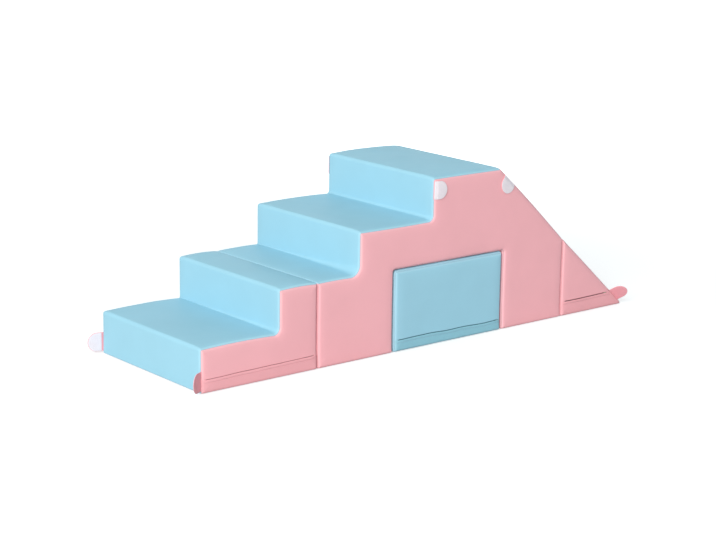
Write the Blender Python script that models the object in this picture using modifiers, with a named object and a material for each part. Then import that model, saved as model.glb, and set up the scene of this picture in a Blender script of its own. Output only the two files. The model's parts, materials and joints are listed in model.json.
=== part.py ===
"""Soft play foam climber: four foam blocks in sewn covers, standing in a row.

From left to right stand a stair block with two steps, a bridge block with two more
steps, a platform and the top of a slope over a tunnel, and a wedge block that takes the
slope down to the floor. A filler block closes the tunnel. Each block is a foam core in
its own cover of coated fabric, sewn from panels along the block's edges and closed by a
zip that lies hidden behind the hem of a low band. Round-ended tabs with hook or loop
pads are sewn into the covers' edges, and hold the blocks together when they are stacked.

Metres. +X runs along the row, from the steps to the slope, +Z is up, and the near side
faces -Y. The origin is on the floor, in the middle of the object's footprint.
"""

import math

import bmesh
import bpy
from mathutils import Matrix, Vector

# The row of blocks
WIDTH = 0.500
RISE = 0.125
FIRST_TREAD = 0.265
STAIR_LANDING = 0.134
BRIDGE_LANDING = 0.150
THIRD_TREAD = 0.275
PLATFORM = 0.268
SLOPE_RUN = 0.276
WEDGE_LENGTH = 0.284
BLOCK_GAP = 0.0006

# The tunnel through the bridge block, and the room round the filler block in it
LEFT_LEG = 0.279
TUNNEL_LENGTH = 0.435
TUNNEL_HEIGHT = 0.247
FILLER_SIDE_GAP = 0.0045
FILLER_TOP_GAP = 0.004

# Covers, and how each kind of edge is rounded
COVER = 0.0012
FIT_GAP = 0.0003
SEAM_GAP = 0.0010
EDGE_RADIUS = 0.008
CROWN = 0.0025
CROWN_SHOULDER = 0.005
CROWN_RUN = 0.016
CROWN_SHOULDER_SHARE = 0.55
NOSE_RADIUS = 0.014
COVE_RADIUS = 0.026
FOAM_COVE_RADIUS = 0.004
CREST_RADIUS = 0.030
BASE_RADIUS = 0.010
MOUTH_RADIUS = 0.009
TIP_RADIUS = 0.0050
LEAST_RADIUS = 0.0004
ARC_STEPS = 4

# Zips: a tape with a coil of teeth and a slider, behind the hem of the low band
HEM_HEIGHT = 0.042
HEM_DEPTH = 0.008
SLIT = 0.0008
ZIP_MARGIN = 0.028
TAPE_WIDTH = 0.026
TAPE = 0.0006
TAPE_CHANNEL = 0.012
TEETH_WIDTH = 0.005
TEETH = 0.0014
SLIDER_LENGTH = 0.012
SLIDER_WALL = 0.0009
SLIDER_PLAY = 0.0004
ZIP_END_STOP = 0.004
GROOVE_PLAY = 0.002

# Tabs: a coated strap with a hook or loop pad on its inner face
TAB_WIDTH = 0.056
TAB_LENGTH = 0.047
TAB_HEIGHT = 0.035
STRAP = 0.0016
PAD = 0.0012
PAD_MARGIN = 0.0015
PAD_START = 0.008
TIP_ANGLES = (0, 20, 38, 54, 68, 79, 87)

# How far each tab is swung from lying on the side panel, over the edge, to its strip
FOLDED = 0
NEAR_FOOT_SWING = 155
FAR_FOOT_SWING = 168
TOE_SWING = 135

# Coated fabric in two colours, and the materials that it hides
PINK = (0.925, 0.690, 0.715)
BLUE = (0.640, 0.850, 0.905)
WHITE = (0.930, 0.900, 0.915)
FOAM = (0.930, 0.920, 0.870)
TAPE_PINK = (0.850, 0.560, 0.600)
TAPE_BLUE = (0.450, 0.700, 0.780)
ZINC = (0.620, 0.620, 0.640)

# Worked out from the values above
STAIR_LENGTH = FIRST_TREAD + STAIR_LANDING
STAIR_HEIGHT = 2 * RISE
BRIDGE_LENGTH = BRIDGE_LANDING + THIRD_TREAD + PLATFORM + SLOPE_RUN
BRIDGE_HEIGHT = 4 * RISE
FILLER_LENGTH = TUNNEL_LENGTH - 2 * FILLER_SIDE_GAP
FILLER_HEIGHT = TUNNEL_HEIGHT - FILLER_TOP_GAP
TIP_ANGLE = math.atan2(STAIR_HEIGHT, WEDGE_LENGTH)
TIP_LOSS = TIP_RADIUS / math.tan(TIP_ANGLE / 2) - TIP_RADIUS
ROW_LENGTH = STAIR_LENGTH + BRIDGE_LENGTH + WEDGE_LENGTH - TIP_LOSS + 2 * BLOCK_GAP

SEAM_Y = WIDTH / 2 - CROWN

TAB_ROOT = STRAP / 2 - FIT_GAP
TAB_CLEARANCE = STRAP / 2 + FIT_GAP
TAB_AXIS_INSET = EDGE_RADIUS - (EDGE_RADIUS + TAB_CLEARANCE) * math.cos(math.pi / 4)
TAB_REACH = -TAB_LENGTH * math.cos(math.radians(FAR_FOOT_SWING)) - TAB_AXIS_INSET

STAIR_X = (TAB_REACH - ROW_LENGTH) / 2
BRIDGE_X = STAIR_X + STAIR_LENGTH + BLOCK_GAP
FILLER_X = BRIDGE_X + LEFT_LEG + FILLER_SIDE_GAP
WEDGE_X = BRIDGE_X + BRIDGE_LENGTH + BLOCK_GAP

ZIP_MIDDLE = HEM_HEIGHT - HEM_DEPTH / 2
TEETH_DEPTH = COVER + FIT_GAP + SLIDER_WALL + SLIDER_PLAY
TAPE_DIP = TEETH_DEPTH + TEETH + FIT_GAP
GROOVE_DEPTH = TAPE_DIP + TAPE + FIT_GAP

# The outlines, seen from the near side and walked clockwise: x, z and the corner's radius
STAIR_CORNERS = (
    (0, 0, BASE_RADIUS),
    (0, RISE, NOSE_RADIUS),
    (FIRST_TREAD, RISE, COVE_RADIUS),
    (FIRST_TREAD, STAIR_HEIGHT, NOSE_RADIUS),
    (STAIR_LENGTH, STAIR_HEIGHT, BASE_RADIUS),
    (STAIR_LENGTH, 0, BASE_RADIUS),
)
BRIDGE_CORNERS = (
    (0, 0, BASE_RADIUS),
    (0, STAIR_HEIGHT, BASE_RADIUS),
    (BRIDGE_LANDING, STAIR_HEIGHT, COVE_RADIUS),
    (BRIDGE_LANDING, 3 * RISE, NOSE_RADIUS),
    (BRIDGE_LANDING + THIRD_TREAD, 3 * RISE, COVE_RADIUS),
    (BRIDGE_LANDING + THIRD_TREAD, BRIDGE_HEIGHT, NOSE_RADIUS),
    (BRIDGE_LENGTH - SLOPE_RUN, BRIDGE_HEIGHT, CREST_RADIUS),
    (BRIDGE_LENGTH, STAIR_HEIGHT, BASE_RADIUS),
    (BRIDGE_LENGTH, 0, BASE_RADIUS),
    (LEFT_LEG + TUNNEL_LENGTH, 0, BASE_RADIUS),
    (LEFT_LEG + TUNNEL_LENGTH, TUNNEL_HEIGHT, MOUTH_RADIUS),
    (LEFT_LEG, TUNNEL_HEIGHT, MOUTH_RADIUS),
    (LEFT_LEG, 0, BASE_RADIUS),
)
FILLER_CORNERS = (
    (0, 0, BASE_RADIUS),
    (0, FILLER_HEIGHT, BASE_RADIUS),
    (FILLER_LENGTH, FILLER_HEIGHT, BASE_RADIUS),
    (FILLER_LENGTH, 0, BASE_RADIUS),
)
WEDGE_CORNERS = (
    (0, 0, BASE_RADIUS),
    (0, STAIR_HEIGHT, BASE_RADIUS),
    (WEDGE_LENGTH, 0, TIP_RADIUS),
)

# Angles round an edge's quarter circle, from the flat of a panel to the seam or past it
SEAM_ANGLE = 45 - math.degrees(SEAM_GAP / 2 / EDGE_RADIUS)
PANEL_ANGLES = (SEAM_ANGLE, 22.5, 0)
FOAM_ANGLES = (90, 67.5, 45, 22.5, 0)

# How a side swells from its rounded edge to its flat middle: inset and rise
CROWN_RINGS = (
    (EDGE_RADIUS + CROWN_SHOULDER, CROWN * CROWN_SHOULDER_SHARE),
    (EDGE_RADIUS + CROWN_RUN, CROWN),
)


def clear_scene():
    """Removes what the scene holds, and adds the collections of the parts and cutters."""
    for obj in list(bpy.data.objects):
        bpy.data.objects.remove(obj, do_unlink=True)
    found = {}
    for name in ("soft_play_foam_climber", "cutters"):
        found[name] = bpy.data.collections.new(name)
        bpy.context.scene.collection.children.link(found[name])
    return found["soft_play_foam_climber"], found["cutters"]


PARTS, CUTTERS = clear_scene()


def linear(channel):
    """One sRGB channel as the linear value that a shader takes."""
    return channel / 12.92 if channel <= 0.04045 else ((channel + 0.055) / 1.055) ** 2.4


def material(name, colour, roughness, metallic=0.0):
    """A Principled BSDF of one colour."""
    made = bpy.data.materials.new(name)
    made.use_nodes = True
    shader = made.node_tree.nodes["Principled BSDF"]
    shader.inputs["Base Color"].default_value = (*map(linear, colour), 1.0)
    shader.inputs["Roughness"].default_value = roughness
    shader.inputs["Metallic"].default_value = metallic
    made.diffuse_color = (*colour, 1.0)
    return made


PINK_COVER = material("pink_coated_fabric", PINK, 0.50)
BLUE_COVER = material("blue_coated_fabric", BLUE, 0.50)
HOOK_AND_LOOP = material("white_hook_and_loop", WHITE, 0.90)
CORE_FOAM = material("cream_foam", FOAM, 0.95)
PINK_TAPE = material("pink_zip_tape", TAPE_PINK, 0.85)
BLUE_TAPE = material("blue_zip_tape", TAPE_BLUE, 0.85)
PINK_TEETH = material("pink_zip_teeth", TAPE_PINK, 0.40)
BLUE_TEETH = material("blue_zip_teeth", TAPE_BLUE, 0.40)
SLIDER_METAL = material("zinc_slider", ZINC, 0.35, 0.90)


def frame(name, location, parent=None, turn=None):
    """An empty that carries a block, a zip or a tab."""
    empty = bpy.data.objects.new(name, None)
    PARTS.objects.link(empty)
    empty.parent = parent
    empty.matrix_basis = Matrix.Translation(location) @ (turn or Matrix()).to_4x4()
    empty.empty_display_size = EDGE_RADIUS
    return empty


def finish_mesh(name, bm, finish, parent, collection=PARTS):
    """Turns the bmesh into an object under its parent empty, shaded smooth."""
    mesh = bpy.data.meshes.new(name)
    bm.to_mesh(mesh)
    bm.free()
    obj = bpy.data.objects.new(name, mesh)
    collection.objects.link(obj)
    obj.parent = parent
    if finish:
        mesh.materials.append(finish)
    mesh.shade_smooth()
    mesh.set_sharp_from_angle(angle=math.radians(40))
    return obj


def thicken(obj, thickness, offset=-1.0):
    """Gives a sheet its thickness, on the inner side of its faces unless told otherwise."""
    solidify = obj.modifiers.new("thickness", "SOLIDIFY")
    solidify.thickness = thickness
    solidify.offset = offset
    solidify.use_even_offset = True
    return obj


def corner_arc(before, corner, after, radius, inset):
    """The points of one rounded corner of an outline that is moved inward by inset."""
    into = (corner - before).normalized()
    out = (after - corner).normalized()
    inward_1 = Vector((into.y, -into.x))
    inward_2 = Vector((out.y, -out.x))
    moved = corner + (inward_1 + inward_2) * (inset / (1 + inward_1.dot(inward_2)))
    turn = math.atan2(into.x * out.y - into.y * out.x, into.dot(out))
    side = -1 if turn > 0 else 1
    curve = max(radius - side * inset, LEAST_RADIUS)
    start = moved - into * (curve * math.tan(abs(turn) / 2))
    centre = start + inward_1 * (side * curve)
    return [
        centre + Matrix.Rotation(turn * step / ARC_STEPS, 2) @ (start - centre)
        for step in range(ARC_STEPS + 1)
    ]


def outline_arcs(corners, inset, cove=None):
    """Each corner's arc. cove, where given, is the radius of the inner corners."""
    points = [Vector(corner[:2]) for corner in corners]
    arcs = []
    for index, (_, _, radius) in enumerate(corners):
        before, corner = points[index - 1], points[index]
        after = points[(index + 1) % len(points)]
        turns_left = (corner - before).cross(after - corner) > 0
        arcs.append(
            corner_arc(before, corner, after, cove if cove and turns_left else radius, inset)
        )
    return arcs


def closed_outline(corners, inset, cove=None):
    """The whole outline as one ring of points."""
    return [point for arc in outline_arcs(corners, inset, cove) for point in arc]


def strip_path(corners, inset, first, last):
    """The outline from the middle of one corner to the middle of another, less the seams."""
    arcs = outline_arcs(corners, inset)
    middle = ARC_STEPS // 2
    path = arcs[first][middle:]
    index = (first + 1) % len(corners)
    while index != last:
        path += arcs[index]
        index = (index + 1) % len(corners)
    path += arcs[last][: middle + 1]
    for end, beside in ((0, 1), (-1, -2)):
        path[end] = path[end] + (path[beside] - path[end]).normalized() * (SEAM_GAP / 2)
    return path


def edge_offsets(angle, radius=EDGE_RADIUS):
    """How far a point of the rounded edge is from the other panel's plane and its own."""
    turn = math.radians(angle)
    return EDGE_RADIUS - radius * math.sin(turn), EDGE_RADIUS - radius * math.cos(turn)


def loft(rows, closed=False, caps=()):
    """A bmesh of quads between rows of points, with a face over each row named in caps."""
    bm = bmesh.new()
    made = [[bm.verts.new(point) for point in row] for row in rows]
    for one, two in zip(made, made[1:]):
        for index in range(len(one) - (0 if closed else 1)):
            after = (index + 1) % len(one)
            bm.faces.new((one[index], one[after], two[after], two[index]))
    for cap in caps:
        bm.faces.new(made[cap] if cap else reversed(made[cap]))
    return bm


def at_width(points, y):
    """Outline points as points of space at one place across the width."""
    return [Vector((point.x, y, point.y)) for point in points]


def trimmed(bm, above=None, below=None):
    """Keeps what lies above one height or below another."""
    for height, up in ((above, -1), (below, 1)):
        if height is None:
            continue
        bmesh.ops.bisect_plane(
            bm,
            geom=bm.verts[:] + bm.edges[:] + bm.faces[:],
            plane_co=(0, 0, height),
            plane_no=(0, 0, up),
            clear_outer=True,
        )
    return bm


def side_panel(name, corners, side, finish, parent, above=None, below=None):
    """A cover's near (-1) or far (1) panel, rolled round the block's edges to the seam."""
    rows = []
    for angle in PANEL_ANGLES:
        inset, drop = edge_offsets(angle)
        rows.append(at_width(closed_outline(corners, inset), side * (SEAM_Y - drop)))
    for inset, rise in CROWN_RINGS:
        rows.append(at_width(closed_outline(corners, inset), side * (SEAM_Y + rise)))
    bm = loft(rows, closed=True, caps=(len(rows) - 1,))
    if side < 0:
        bmesh.ops.reverse_faces(bm, faces=bm.faces[:])
    return thicken(finish_mesh(name, trimmed(bm, above, below), finish, parent), COVER)


def strip_panel(name, corners, first, last, finish, parent, above=None, below=None):
    """A panel across the block's width, from one corner of its outline to another."""
    rows = []
    for side, angles in ((-1, PANEL_ANGLES), (1, PANEL_ANGLES[::-1])):
        for angle in angles:
            across, drop = edge_offsets(angle)
            path = strip_path(corners, drop, first, last)
            rows.append(at_width(path, side * (SEAM_Y - across)))
    bm = loft(rows)
    return thicken(finish_mesh(name, trimmed(bm, above, below), finish, parent), COVER)


def foam_core(name, corners, parent):
    """The block's foam, one fit gap inside its cover, with square inner corners."""
    shrink = COVER + FIT_GAP
    rings = [(inset, rise - shrink) for inset, rise in reversed(CROWN_RINGS)]
    for angle in reversed(FOAM_ANGLES):
        inset, depth = edge_offsets(angle, EDGE_RADIUS - shrink)
        rings.append((inset, -depth))
    rows = [
        at_width(closed_outline(corners, inset, FOAM_COVE_RADIUS), side * (SEAM_Y + rise))
        for side, half in ((-1, rings), (1, rings[::-1]))
        for inset, rise in half
    ]
    bm = loft(rows, closed=True, caps=(0, len(rows) - 1))
    return finish_mesh(name, bm, CORE_FOAM, parent)


def box(name, low, high, finish, parent, collection=PARTS):
    """A box between two corners."""
    low, high = Vector(low), Vector(high)
    bm = bmesh.new()
    bmesh.ops.create_cube(bm, size=1)
    bmesh.ops.scale(bm, vec=high - low, verts=bm.verts)
    bmesh.ops.translate(bm, vec=(low + high) / 2, verts=bm.verts)
    return finish_mesh(name, bm, finish, parent, collection)


def channel(name, path, start, length, thickness, finish, parent):
    """A thin profile, given as depth and height, drawn out along its frame's X."""
    rows = [
        [Vector((x, depth, height)) for depth, height in path]
        for x in (start, start + length)
    ]
    bm = loft(rows)
    bmesh.ops.reverse_faces(bm, faces=bm.faces[:])
    return thicken(finish_mesh(name, bm, finish, parent), thickness)


def zip_closure(name, foam, length, tape_finish, teeth_finish, carrier):
    """Tape, teeth and slider in the carrier's frame: +X along the zip, +Y into the foam."""
    edge = COVER + FIT_GAP
    half, dip = TAPE_WIDTH / 2, TAPE_CHANNEL / 2
    shoulder = dip + (TAPE_DIP - edge)
    path = (
        (edge, -half),
        (edge, -shoulder),
        (TAPE_DIP, -dip),
        (TAPE_DIP, dip),
        (edge, shoulder),
        (edge, half),
    )
    channel(f"{name}_zip_tape", path, 0, length, TAPE, tape_finish, carrier)
    teeth = box(
        f"{name}_zip_teeth",
        (ZIP_END_STOP, TEETH_DEPTH, -TEETH_WIDTH / 2),
        (length - ZIP_END_STOP, TEETH_DEPTH + TEETH, TEETH_WIDTH / 2),
        teeth_finish,
        carrier,
    )
    bevel = teeth.modifiers.new("worn_edges", "BEVEL")
    bevel.width = TEETH / 4
    bevel.segments = 1
    rest = frame(
        f"{name}_zip_slider_axis", (length - ZIP_END_STOP - SLIDER_LENGTH, 0, 0), carrier
    )
    inner = TEETH_WIDTH / 2 + SLIDER_PLAY
    top = TEETH_DEPTH - SLIDER_PLAY
    foot = TEETH_DEPTH + TEETH
    slider = ((foot, -inner), (top, -inner), (top, inner), (foot, inner))
    saddle = channel(
        f"{name}_zip_slider", slider, 0, SLIDER_LENGTH, SLIDER_WALL, SLIDER_METAL, rest
    )
    saddle.modifiers["thickness"].offset = 1.0
    groove = box(
        f"{name}_zip_groove",
        (-GROOVE_PLAY, -EDGE_RADIUS, -half - GROOVE_PLAY),
        (length + GROOVE_PLAY, GROOVE_DEPTH, half + GROOVE_PLAY),
        None,
        carrier,
        CUTTERS,
    )
    groove.hide_render = True
    groove.display_type = "WIRE"
    cut = foam.modifiers.new("zip_groove", "BOOLEAN")
    cut.object = groove
    cut.operation = "DIFFERENCE"
    cut.solver = "EXACT"


def near_zip(name, foam, length, tape_finish, teeth_finish, parent):
    """A zip along the near side, under the hem of the block's low band."""
    carrier = frame(f"{name}_zip_frame", (ZIP_MARGIN, -WIDTH / 2, ZIP_MIDDLE), parent)
    zip_closure(name, foam, length, tape_finish, teeth_finish, carrier)


def strap_path(folded):
    """The strap's middle line in its hinge's frame, from the hinge to where it is flat.

    A folded strap is bent round the block's rounded edge and over the side's swell.
    """
    if not folded:
        return [Vector((0, 0))]
    radius = EDGE_RADIUS + TAB_CLEARANCE
    centre = Vector((radius, radius)) * math.cos(math.pi / 4)
    path = []
    for step in range(ARC_STEPS + 1):
        angle = math.pi / 4 * (1 - step / ARC_STEPS)
        path.append(centre - Vector((math.sin(angle), math.cos(angle))) * radius)
    for inset, rise in CROWN_RINGS:
        path.append(centre + Vector((inset - EDGE_RADIUS, -rise - radius)))
    return path


def tab_rows(folded, start, length, width, depth):
    """Rows of two points across a round-ended strap, from its hinge to its tip."""
    path = strap_path(folded)
    path.append(path[-1] + Vector((length, 0)))
    path[0] -= (path[1] - path[0]).normalized() * TAB_ROOT
    runs = [after - place for place, after in zip(path, path[1:])]
    reached = [
        sum(run.length for run in runs[:count]) - TAB_ROOT for count in range(len(path))
    ]
    straight = length - width / 2
    stations = [spot for spot in reached if start < spot < straight] + [start]
    stations += [straight + math.sin(math.radians(angle)) * width / 2 for angle in TIP_ANGLES]
    rows = []
    for station in sorted(stations):
        index = max(i for i in range(len(runs)) if reached[i] <= station)
        run = runs[index].normalized()
        before = runs[max(index - 1, 0)].normalized() if station == reached[index] else run
        normal = (Vector((-run.y, run.x)) + Vector((-before.y, before.x))).normalized()
        middle = path[index] + run * (station - reached[index]) + normal * depth
        half = math.sqrt((width / 2) ** 2 - max(station - straight, 0) ** 2)
        rows.append(
            [Vector((middle.x, half, middle.y)), Vector((middle.x, -half, middle.y))]
        )
    return rows


def tab(name, block, edge_point, strip_normal, side, swing):
    """A tab on the edge between a side panel and the strip with that outward normal.

    swing is 0 where the tab lies on the side panel, 90 where it stands straight out of
    it, and 180 where it carries the side panel on past the edge.
    """
    outward = Vector((0, side, 0))
    normal = Vector((strip_normal.x, 0, strip_normal.y))
    angle = math.radians(swing)
    along = outward * math.sin(angle) - normal * math.cos(angle)
    upper = -outward * math.cos(angle) - normal * math.sin(angle)
    turn = Matrix((along, upper.cross(along), upper)).transposed()
    corner = Vector((edge_point.x, side * SEAM_Y, edge_point.y))
    hinge = frame(
        f"{name}_axis", corner - (normal + outward) * TAB_AXIS_INSET, block, turn
    )
    folded = swing == FOLDED
    rows = tab_rows(folded, -TAB_ROOT, TAB_LENGTH, TAB_WIDTH, 0)
    strap = finish_mesh(f"{name}_strap", loft(rows), PINK_COVER, hinge)
    thicken(strap, STRAP, 0.0)
    rows = tab_rows(
        folded,
        PAD_START,
        TAB_LENGTH - PAD_MARGIN,
        TAB_WIDTH - 2 * PAD_MARGIN,
        -STRAP / 2 - FIT_GAP - PAD / 2,
    )
    pad = finish_mesh(f"{name}_pad", loft(rows), HOOK_AND_LOOP, hinge)
    thicken(pad, PAD, 0.0)


def stair_block():
    """Two blue steps with pink sides. Its foot tabs stand out past the first riser."""
    block = frame("stair_block_frame", (STAIR_X, 0, 0))
    foam = foam_core("stair_foam", STAIR_CORNERS, block)
    side_panel(
        "stair_near_side", STAIR_CORNERS, -1, PINK_COVER, block, above=HEM_HEIGHT + SLIT
    )
    side_panel(
        "stair_near_band", STAIR_CORNERS, -1, PINK_COVER, block, below=HEM_HEIGHT
    )
    side_panel("stair_far_side", STAIR_CORNERS, 1, PINK_COVER, block)
    strip_panel("stair_tread_cover", STAIR_CORNERS, 0, 4, BLUE_COVER, block)
    strip_panel("stair_end_panel", STAIR_CORNERS, 4, 5, PINK_COVER, block)
    strip_panel("stair_base_panel", STAIR_CORNERS, 5, 0, PINK_COVER, block)
    near_zip("stair", foam, STAIR_LENGTH - 2 * ZIP_MARGIN, PINK_TAPE, PINK_TEETH, block)
    foot, riser = Vector((0, TAB_HEIGHT)), Vector((-1, 0))
    tab("stair_tab_near", block, foot, riser, -1, NEAR_FOOT_SWING)
    tab("stair_tab_far", block, foot, riser, 1, FAR_FOOT_SWING)


def bridge_block():
    """Two blue steps, a platform and the top of the slope, over a tunnel."""
    block = frame("bridge_block_frame", (BRIDGE_X, 0, 0))
    foam = foam_core("bridge_foam", BRIDGE_CORNERS, block)
    side_panel("bridge_near_side", BRIDGE_CORNERS, -1, PINK_COVER, block)
    side_panel("bridge_far_side", BRIDGE_CORNERS, 1, PINK_COVER, block)
    strip_panel("bridge_tread_cover", BRIDGE_CORNERS, 1, 6, BLUE_COVER, block)
    strip_panel("bridge_slope_panel", BRIDGE_CORNERS, 6, 7, PINK_COVER, block)
    strip_panel("bridge_right_panel", BRIDGE_CORNERS, 7, 8, PINK_COVER, block)
    strip_panel("bridge_right_foot", BRIDGE_CORNERS, 8, 9, PINK_COVER, block)
    strip_panel("bridge_tunnel_lining", BRIDGE_CORNERS, 9, 12, PINK_COVER, block)
    strip_panel("bridge_left_foot", BRIDGE_CORNERS, 12, 0, PINK_COVER, block)
    strip_panel(
        "bridge_left_panel", BRIDGE_CORNERS, 0, 1, PINK_COVER, block, above=HEM_HEIGHT + SLIT
    )
    strip_panel(
        "bridge_left_band", BRIDGE_CORNERS, 0, 1, PINK_COVER, block, below=HEM_HEIGHT
    )
    length = WIDTH - 2 * ZIP_MARGIN
    carrier = frame(
        "bridge_zip_frame", (0, length / 2, ZIP_MIDDLE), block, Matrix.Rotation(-math.pi / 2, 3, "Z")
    )
    zip_closure("bridge", foam, length, PINK_TAPE, PINK_TEETH, carrier)
    high = BRIDGE_HEIGHT - TAB_HEIGHT
    riser_point = Vector((BRIDGE_LANDING + THIRD_TREAD, high))
    slope_point, slope_normal = on_slope(
        BRIDGE_LENGTH - SLOPE_RUN, BRIDGE_HEIGHT, SLOPE_RUN, TAB_HEIGHT
    )
    for word, side in (("near", -1), ("far", 1)):
        tab(f"bridge_riser_tab_{word}", block, riser_point, Vector((-1, 0)), side, FOLDED)
        tab(f"bridge_slope_tab_{word}", block, slope_point, slope_normal, side, FOLDED)


def on_slope(start, top, run, drop):
    """The point of a slope that lies that far below its top, and the slope's normal.

    The slope falls by two rises over its run.
    """
    fall = 2 * RISE
    normal = Vector((fall, run)).normalized()
    return Vector((start + run * drop / fall, top - drop)), normal


def filler_block():
    """The blue block that closes the tunnel."""
    block = frame("filler_block_frame", (FILLER_X, 0, 0))
    foam = foam_core("filler_foam", FILLER_CORNERS, block)
    side_panel(
        "filler_near_side", FILLER_CORNERS, -1, BLUE_COVER, block, above=HEM_HEIGHT + SLIT
    )
    side_panel(
        "filler_near_band", FILLER_CORNERS, -1, BLUE_COVER, block, below=HEM_HEIGHT
    )
    side_panel("filler_far_side", FILLER_CORNERS, 1, BLUE_COVER, block)
    strip_panel("filler_wrap", FILLER_CORNERS, 0, 3, BLUE_COVER, block)
    strip_panel("filler_base_panel", FILLER_CORNERS, 3, 0, BLUE_COVER, block)
    near_zip("filler", foam, FILLER_LENGTH - 2 * ZIP_MARGIN, BLUE_TAPE, BLUE_TEETH, block)


def wedge_block():
    """The pink wedge that takes the slope down to the floor."""
    block = frame("wedge_block_frame", (WEDGE_X, 0, 0))
    foam = foam_core("wedge_foam", WEDGE_CORNERS, block)
    side_panel(
        "wedge_near_side", WEDGE_CORNERS, -1, PINK_COVER, block, above=HEM_HEIGHT + SLIT
    )
    side_panel(
        "wedge_near_band", WEDGE_CORNERS, -1, PINK_COVER, block, below=HEM_HEIGHT
    )
    side_panel("wedge_far_side", WEDGE_CORNERS, 1, PINK_COVER, block)
    strip_panel("wedge_end_panel", WEDGE_CORNERS, 0, 1, PINK_COVER, block)
    strip_panel("wedge_slope_panel", WEDGE_CORNERS, 1, 2, PINK_COVER, block)
    strip_panel("wedge_base_panel", WEDGE_CORNERS, 2, 0, PINK_COVER, block)
    tape_top = ZIP_MIDDLE + TAPE_WIDTH / 2
    slope = math.hypot(WEDGE_LENGTH, STAIR_HEIGHT)
    zip_end = WEDGE_LENGTH * (1 - tape_top / STAIR_HEIGHT) - ZIP_MARGIN * slope / STAIR_HEIGHT
    near_zip("wedge", foam, zip_end - ZIP_MARGIN, PINK_TAPE, PINK_TEETH, block)
    toe, normal = on_slope(0, STAIR_HEIGHT, WEDGE_LENGTH, STAIR_HEIGHT - TAB_HEIGHT)
    for word, side in (("near", -1), ("far", 1)):
        tab(f"wedge_tab_{word}", block, toe, normal, side, TOE_SWING)


stair_block()
bridge_block()
filler_block()
wedge_block()
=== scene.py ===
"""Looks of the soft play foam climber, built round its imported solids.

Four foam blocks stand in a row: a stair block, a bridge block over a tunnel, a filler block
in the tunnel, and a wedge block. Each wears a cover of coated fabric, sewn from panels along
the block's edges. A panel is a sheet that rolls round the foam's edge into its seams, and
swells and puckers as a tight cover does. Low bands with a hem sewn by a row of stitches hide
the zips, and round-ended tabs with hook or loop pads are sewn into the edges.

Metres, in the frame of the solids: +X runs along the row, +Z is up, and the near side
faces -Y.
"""

import json
import math
import random
from typing import NamedTuple

import bmesh
import bpy
import numpy as np
from mathutils import Euler, Matrix, Vector, noise
from mathutils.bvhtree import BVHTree
from mathutils.geometry import delaunay_2d_cdt
from mathutils.kdtree import KDTree

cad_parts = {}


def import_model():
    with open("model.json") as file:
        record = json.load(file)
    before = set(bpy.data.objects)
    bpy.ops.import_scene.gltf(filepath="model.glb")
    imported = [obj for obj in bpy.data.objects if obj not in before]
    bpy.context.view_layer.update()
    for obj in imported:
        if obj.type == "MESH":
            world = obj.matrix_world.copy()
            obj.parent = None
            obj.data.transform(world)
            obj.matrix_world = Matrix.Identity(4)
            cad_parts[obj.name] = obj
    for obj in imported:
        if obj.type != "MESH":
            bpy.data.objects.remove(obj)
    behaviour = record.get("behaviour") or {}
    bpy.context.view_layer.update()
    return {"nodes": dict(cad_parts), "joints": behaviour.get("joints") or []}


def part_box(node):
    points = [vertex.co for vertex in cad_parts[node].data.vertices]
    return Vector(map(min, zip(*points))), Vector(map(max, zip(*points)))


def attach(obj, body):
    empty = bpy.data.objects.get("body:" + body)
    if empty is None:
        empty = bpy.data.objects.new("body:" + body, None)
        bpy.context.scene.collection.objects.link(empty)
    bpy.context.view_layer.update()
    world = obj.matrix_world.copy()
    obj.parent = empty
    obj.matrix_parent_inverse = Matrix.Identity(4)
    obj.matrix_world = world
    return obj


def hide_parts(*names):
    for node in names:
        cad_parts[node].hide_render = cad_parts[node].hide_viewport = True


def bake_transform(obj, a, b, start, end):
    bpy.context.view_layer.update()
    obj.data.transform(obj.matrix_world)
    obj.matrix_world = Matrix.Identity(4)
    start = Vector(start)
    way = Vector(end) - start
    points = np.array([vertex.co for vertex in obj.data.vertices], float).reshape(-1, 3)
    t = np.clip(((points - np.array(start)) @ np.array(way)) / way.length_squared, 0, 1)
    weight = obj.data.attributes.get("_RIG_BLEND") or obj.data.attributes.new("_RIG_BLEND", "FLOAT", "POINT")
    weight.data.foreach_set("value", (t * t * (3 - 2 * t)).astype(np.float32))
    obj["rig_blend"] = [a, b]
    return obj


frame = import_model()
JOINTS = {joint["name"]: joint for joint in frame["joints"]}


def low(node_name):
    """A solid's lowest corner."""
    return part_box(node_name)[0]


def high(node_name):
    """A solid's highest corner."""
    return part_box(node_name)[1]


# The blocks in the row: places from the solids, and the driving sizes that they share
HEIGHT = high("bridge_tread_cover").z
RISE = HEIGHT / 4
HALF_WIDTH = -low("bridge_near_side").y
STAIR_LEFT = low("stair_tread_cover").x
STAIR_LENGTH = high("stair_end_panel").x - STAIR_LEFT
BRIDGE_LEFT = low("bridge_left_panel").x
BRIDGE_LENGTH = high("bridge_right_panel").x - BRIDGE_LEFT
FILLER_LEFT = low("filler_wrap").x
FILLER_LENGTH = high("filler_wrap").x - FILLER_LEFT
FILLER_HEIGHT = high("filler_wrap").z
WEDGE_LEFT = low("wedge_end_panel").x
FIRST_TREAD = 0.265
BRIDGE_LANDING = 0.150
THIRD_TREAD = 0.275
SLOPE_RUN = 0.276
WEDGE_LENGTH = 0.284
LEFT_LEG = 0.279
TUNNEL_LENGTH = 0.435
TUNNEL_HEIGHT = 0.247

# How softly each corner of an outline is rounded; a cove is softer at its near end
NOSE_RADIUS = 0.006
STAIR_COVE_RADIUS = 0.017
THIRD_COVE_RADIUS = 0.030
TOP_COVE_RADIUS = 0.015
FAR_COVE_RADIUS = 0.006
CREST_RADIUS = 0.010
JOIN_RADIUS = 0.003
BASE_RADIUS = 0.006
MOUTH_RADIUS = 0.007
TIP_RADIUS = 0.005

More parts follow.
